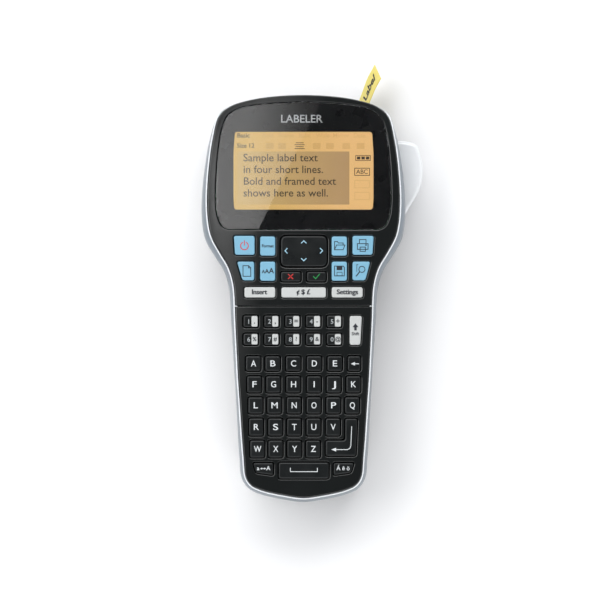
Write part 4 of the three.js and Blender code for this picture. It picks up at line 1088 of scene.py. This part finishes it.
def smooth_shading():
    """A modifier group that shades soft bends smoothly and keeps real edges sharp."""
    group = bpy.data.node_groups.new("smooth_shading", "GeometryNodeTree")
    group.interface.new_socket("Geometry", in_out="INPUT", socket_type="NodeSocketGeometry")
    group.interface.new_socket("Geometry", in_out="OUTPUT", socket_type="NodeSocketGeometry")
    start = group.nodes.new("NodeGroupInput")
    end = group.nodes.new("NodeGroupOutput")
    weld = group.nodes.new("GeometryNodeMergeByDistance")
    weld.inputs["Distance"].default_value = WELD
    bend = group.nodes.new("GeometryNodeInputMeshEdgeAngle")
    soft = group.nodes.new("FunctionNodeCompare")
    soft.data_type = "FLOAT"
    soft.operation = "LESS_THAN"
    soft.inputs[1].default_value = SMOOTH_UNDER
    faces = group.nodes.new("GeometryNodeSetShadeSmooth")
    edges = group.nodes.new("GeometryNodeSetShadeSmooth")
    edges.domain = "EDGE"
    group.links.new(start.outputs["Geometry"], weld.inputs["Geometry"])
    group.links.new(weld.outputs["Geometry"], faces.inputs["Geometry"])
    group.links.new(faces.outputs["Geometry"], edges.inputs["Geometry"])
    group.links.new(bend.outputs["Unsigned Angle"], soft.inputs[0])
    group.links.new(soft.outputs["Result"], edges.inputs["Shade Smooth"])
    group.links.new(edges.outputs["Geometry"], end.inputs["Geometry"])
    return group


SOFT = smooth_shading()
for material, names in CARRIED.items():
    for name in names:
        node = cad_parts[name]
        node.modifiers.new("smooth_shading", "NODES").node_group = SOFT
        for slot in node.material_slots:
            slot.link = "OBJECT"
            slot.material = material

# ---------------------------------------------------------------- floor and light cards
FLOOR = 1.4  # half a side, in metres
FLOOR_PALE = surface("floor_pale", (246, 246, 247), 0.7, drift=0.01, grain=40, bump=0.02, patch=3)
CARD_Z = FACE_Z + VIEW_DISTANCE


def stage_face(name, corners, material):
    made = bpy.data.objects.new(name, mesh_of(name, corners, [tuple(range(len(corners)))]))
    bpy.context.scene.collection.objects.link(made)
    made.data.materials.append(material)


def card_light(name, across, fade_from, fade_to):
    """A glow that changes along X through (x, strength) stops and fades out along Y."""
    made = bpy.data.materials.new(name)
    made.use_nodes = True
    tree = made.node_tree
    tree.nodes.remove(tree.nodes["Principled BSDF"])
    coords = tree.nodes.new("ShaderNodeTexCoord")
    split = tree.nodes.new("ShaderNodeSeparateXYZ")
    tree.links.new(coords.outputs["Object"], split.inputs["Vector"])
    curve = tree.nodes.new("ShaderNodeFloatCurve")
    low, high = across[0][0], across[-1][0]
    most = max(strength for _, strength in across)
    points = curve.mapping.curves[0].points
    while len(points) < len(across):
        points.new(0.5, 0.5)
    for point, (x, strength) in zip(points, across):
        point.location = ((x - low) / (high - low), strength / most)
        point.handle_type = "VECTOR"
    curve.mapping.update()
    spread = ranged(tree, split.outputs["X"], 0, 1, SHIFT.x + low * MM, SHIFT.x + high * MM)
    tree.links.new(spread, curve.inputs["Value"])
    faded = ranged(tree, split.outputs["Y"], 0, most, SHIFT.y + fade_to * MM, SHIFT.y + fade_from * MM)
    product = tree.nodes.new("ShaderNodeMath")
    product.operation = "MULTIPLY"
    tree.links.new(curve.outputs["Value"], product.inputs[0])
    tree.links.new(faded, product.inputs[1])
    glow = tree.nodes.new("ShaderNodeEmission")
    tree.links.new(product.outputs["Value"], glow.inputs["Strength"])
    tree.links.new(glow.outputs["Emission"], tree.nodes["Material Output"].inputs["Surface"])
    return made


stage_face("floor", [(x, y, 0) for x, y in rectangle(-FLOOR, -FLOOR, FLOOR, FLOOR)], FLOOR_PALE)
WINDOW_CARD = [
    (24.3, 205), (-42.3, 69), (-87, 69), (-89, 107), (-87, 147), (-80, 168), (-74, 182), (-64, 189),
    (-46, 194), (-20, 205),
]
WINDOW_GLOW = [(-89, 4.4), (-84, 4.0), (-82, 2.1), (-50, 1.9), (0, 0.5), (24.3, 0.2)]
stage_face(
    "window_card", [place(x, y, CARD_Z) for x, y in WINDOW_CARD],
    card_light("window_glow", WINDOW_GLOW, fade_from=-10, fade_to=-110),
)
SIDE_CARD = [(-40, 69), (-40, -130), (-80, -130), (-86, 40), (-87, 69)]
SIDE_GLOW = [(-87, 2.0), (-70, 1.4), (-40, 0.0)]
stage_face(
    "side_card", [place(x, y, CARD_Z) for x, y in SIDE_CARD],
    card_light("side_glow", SIDE_GLOW, fade_from=69, fade_to=-130),
)
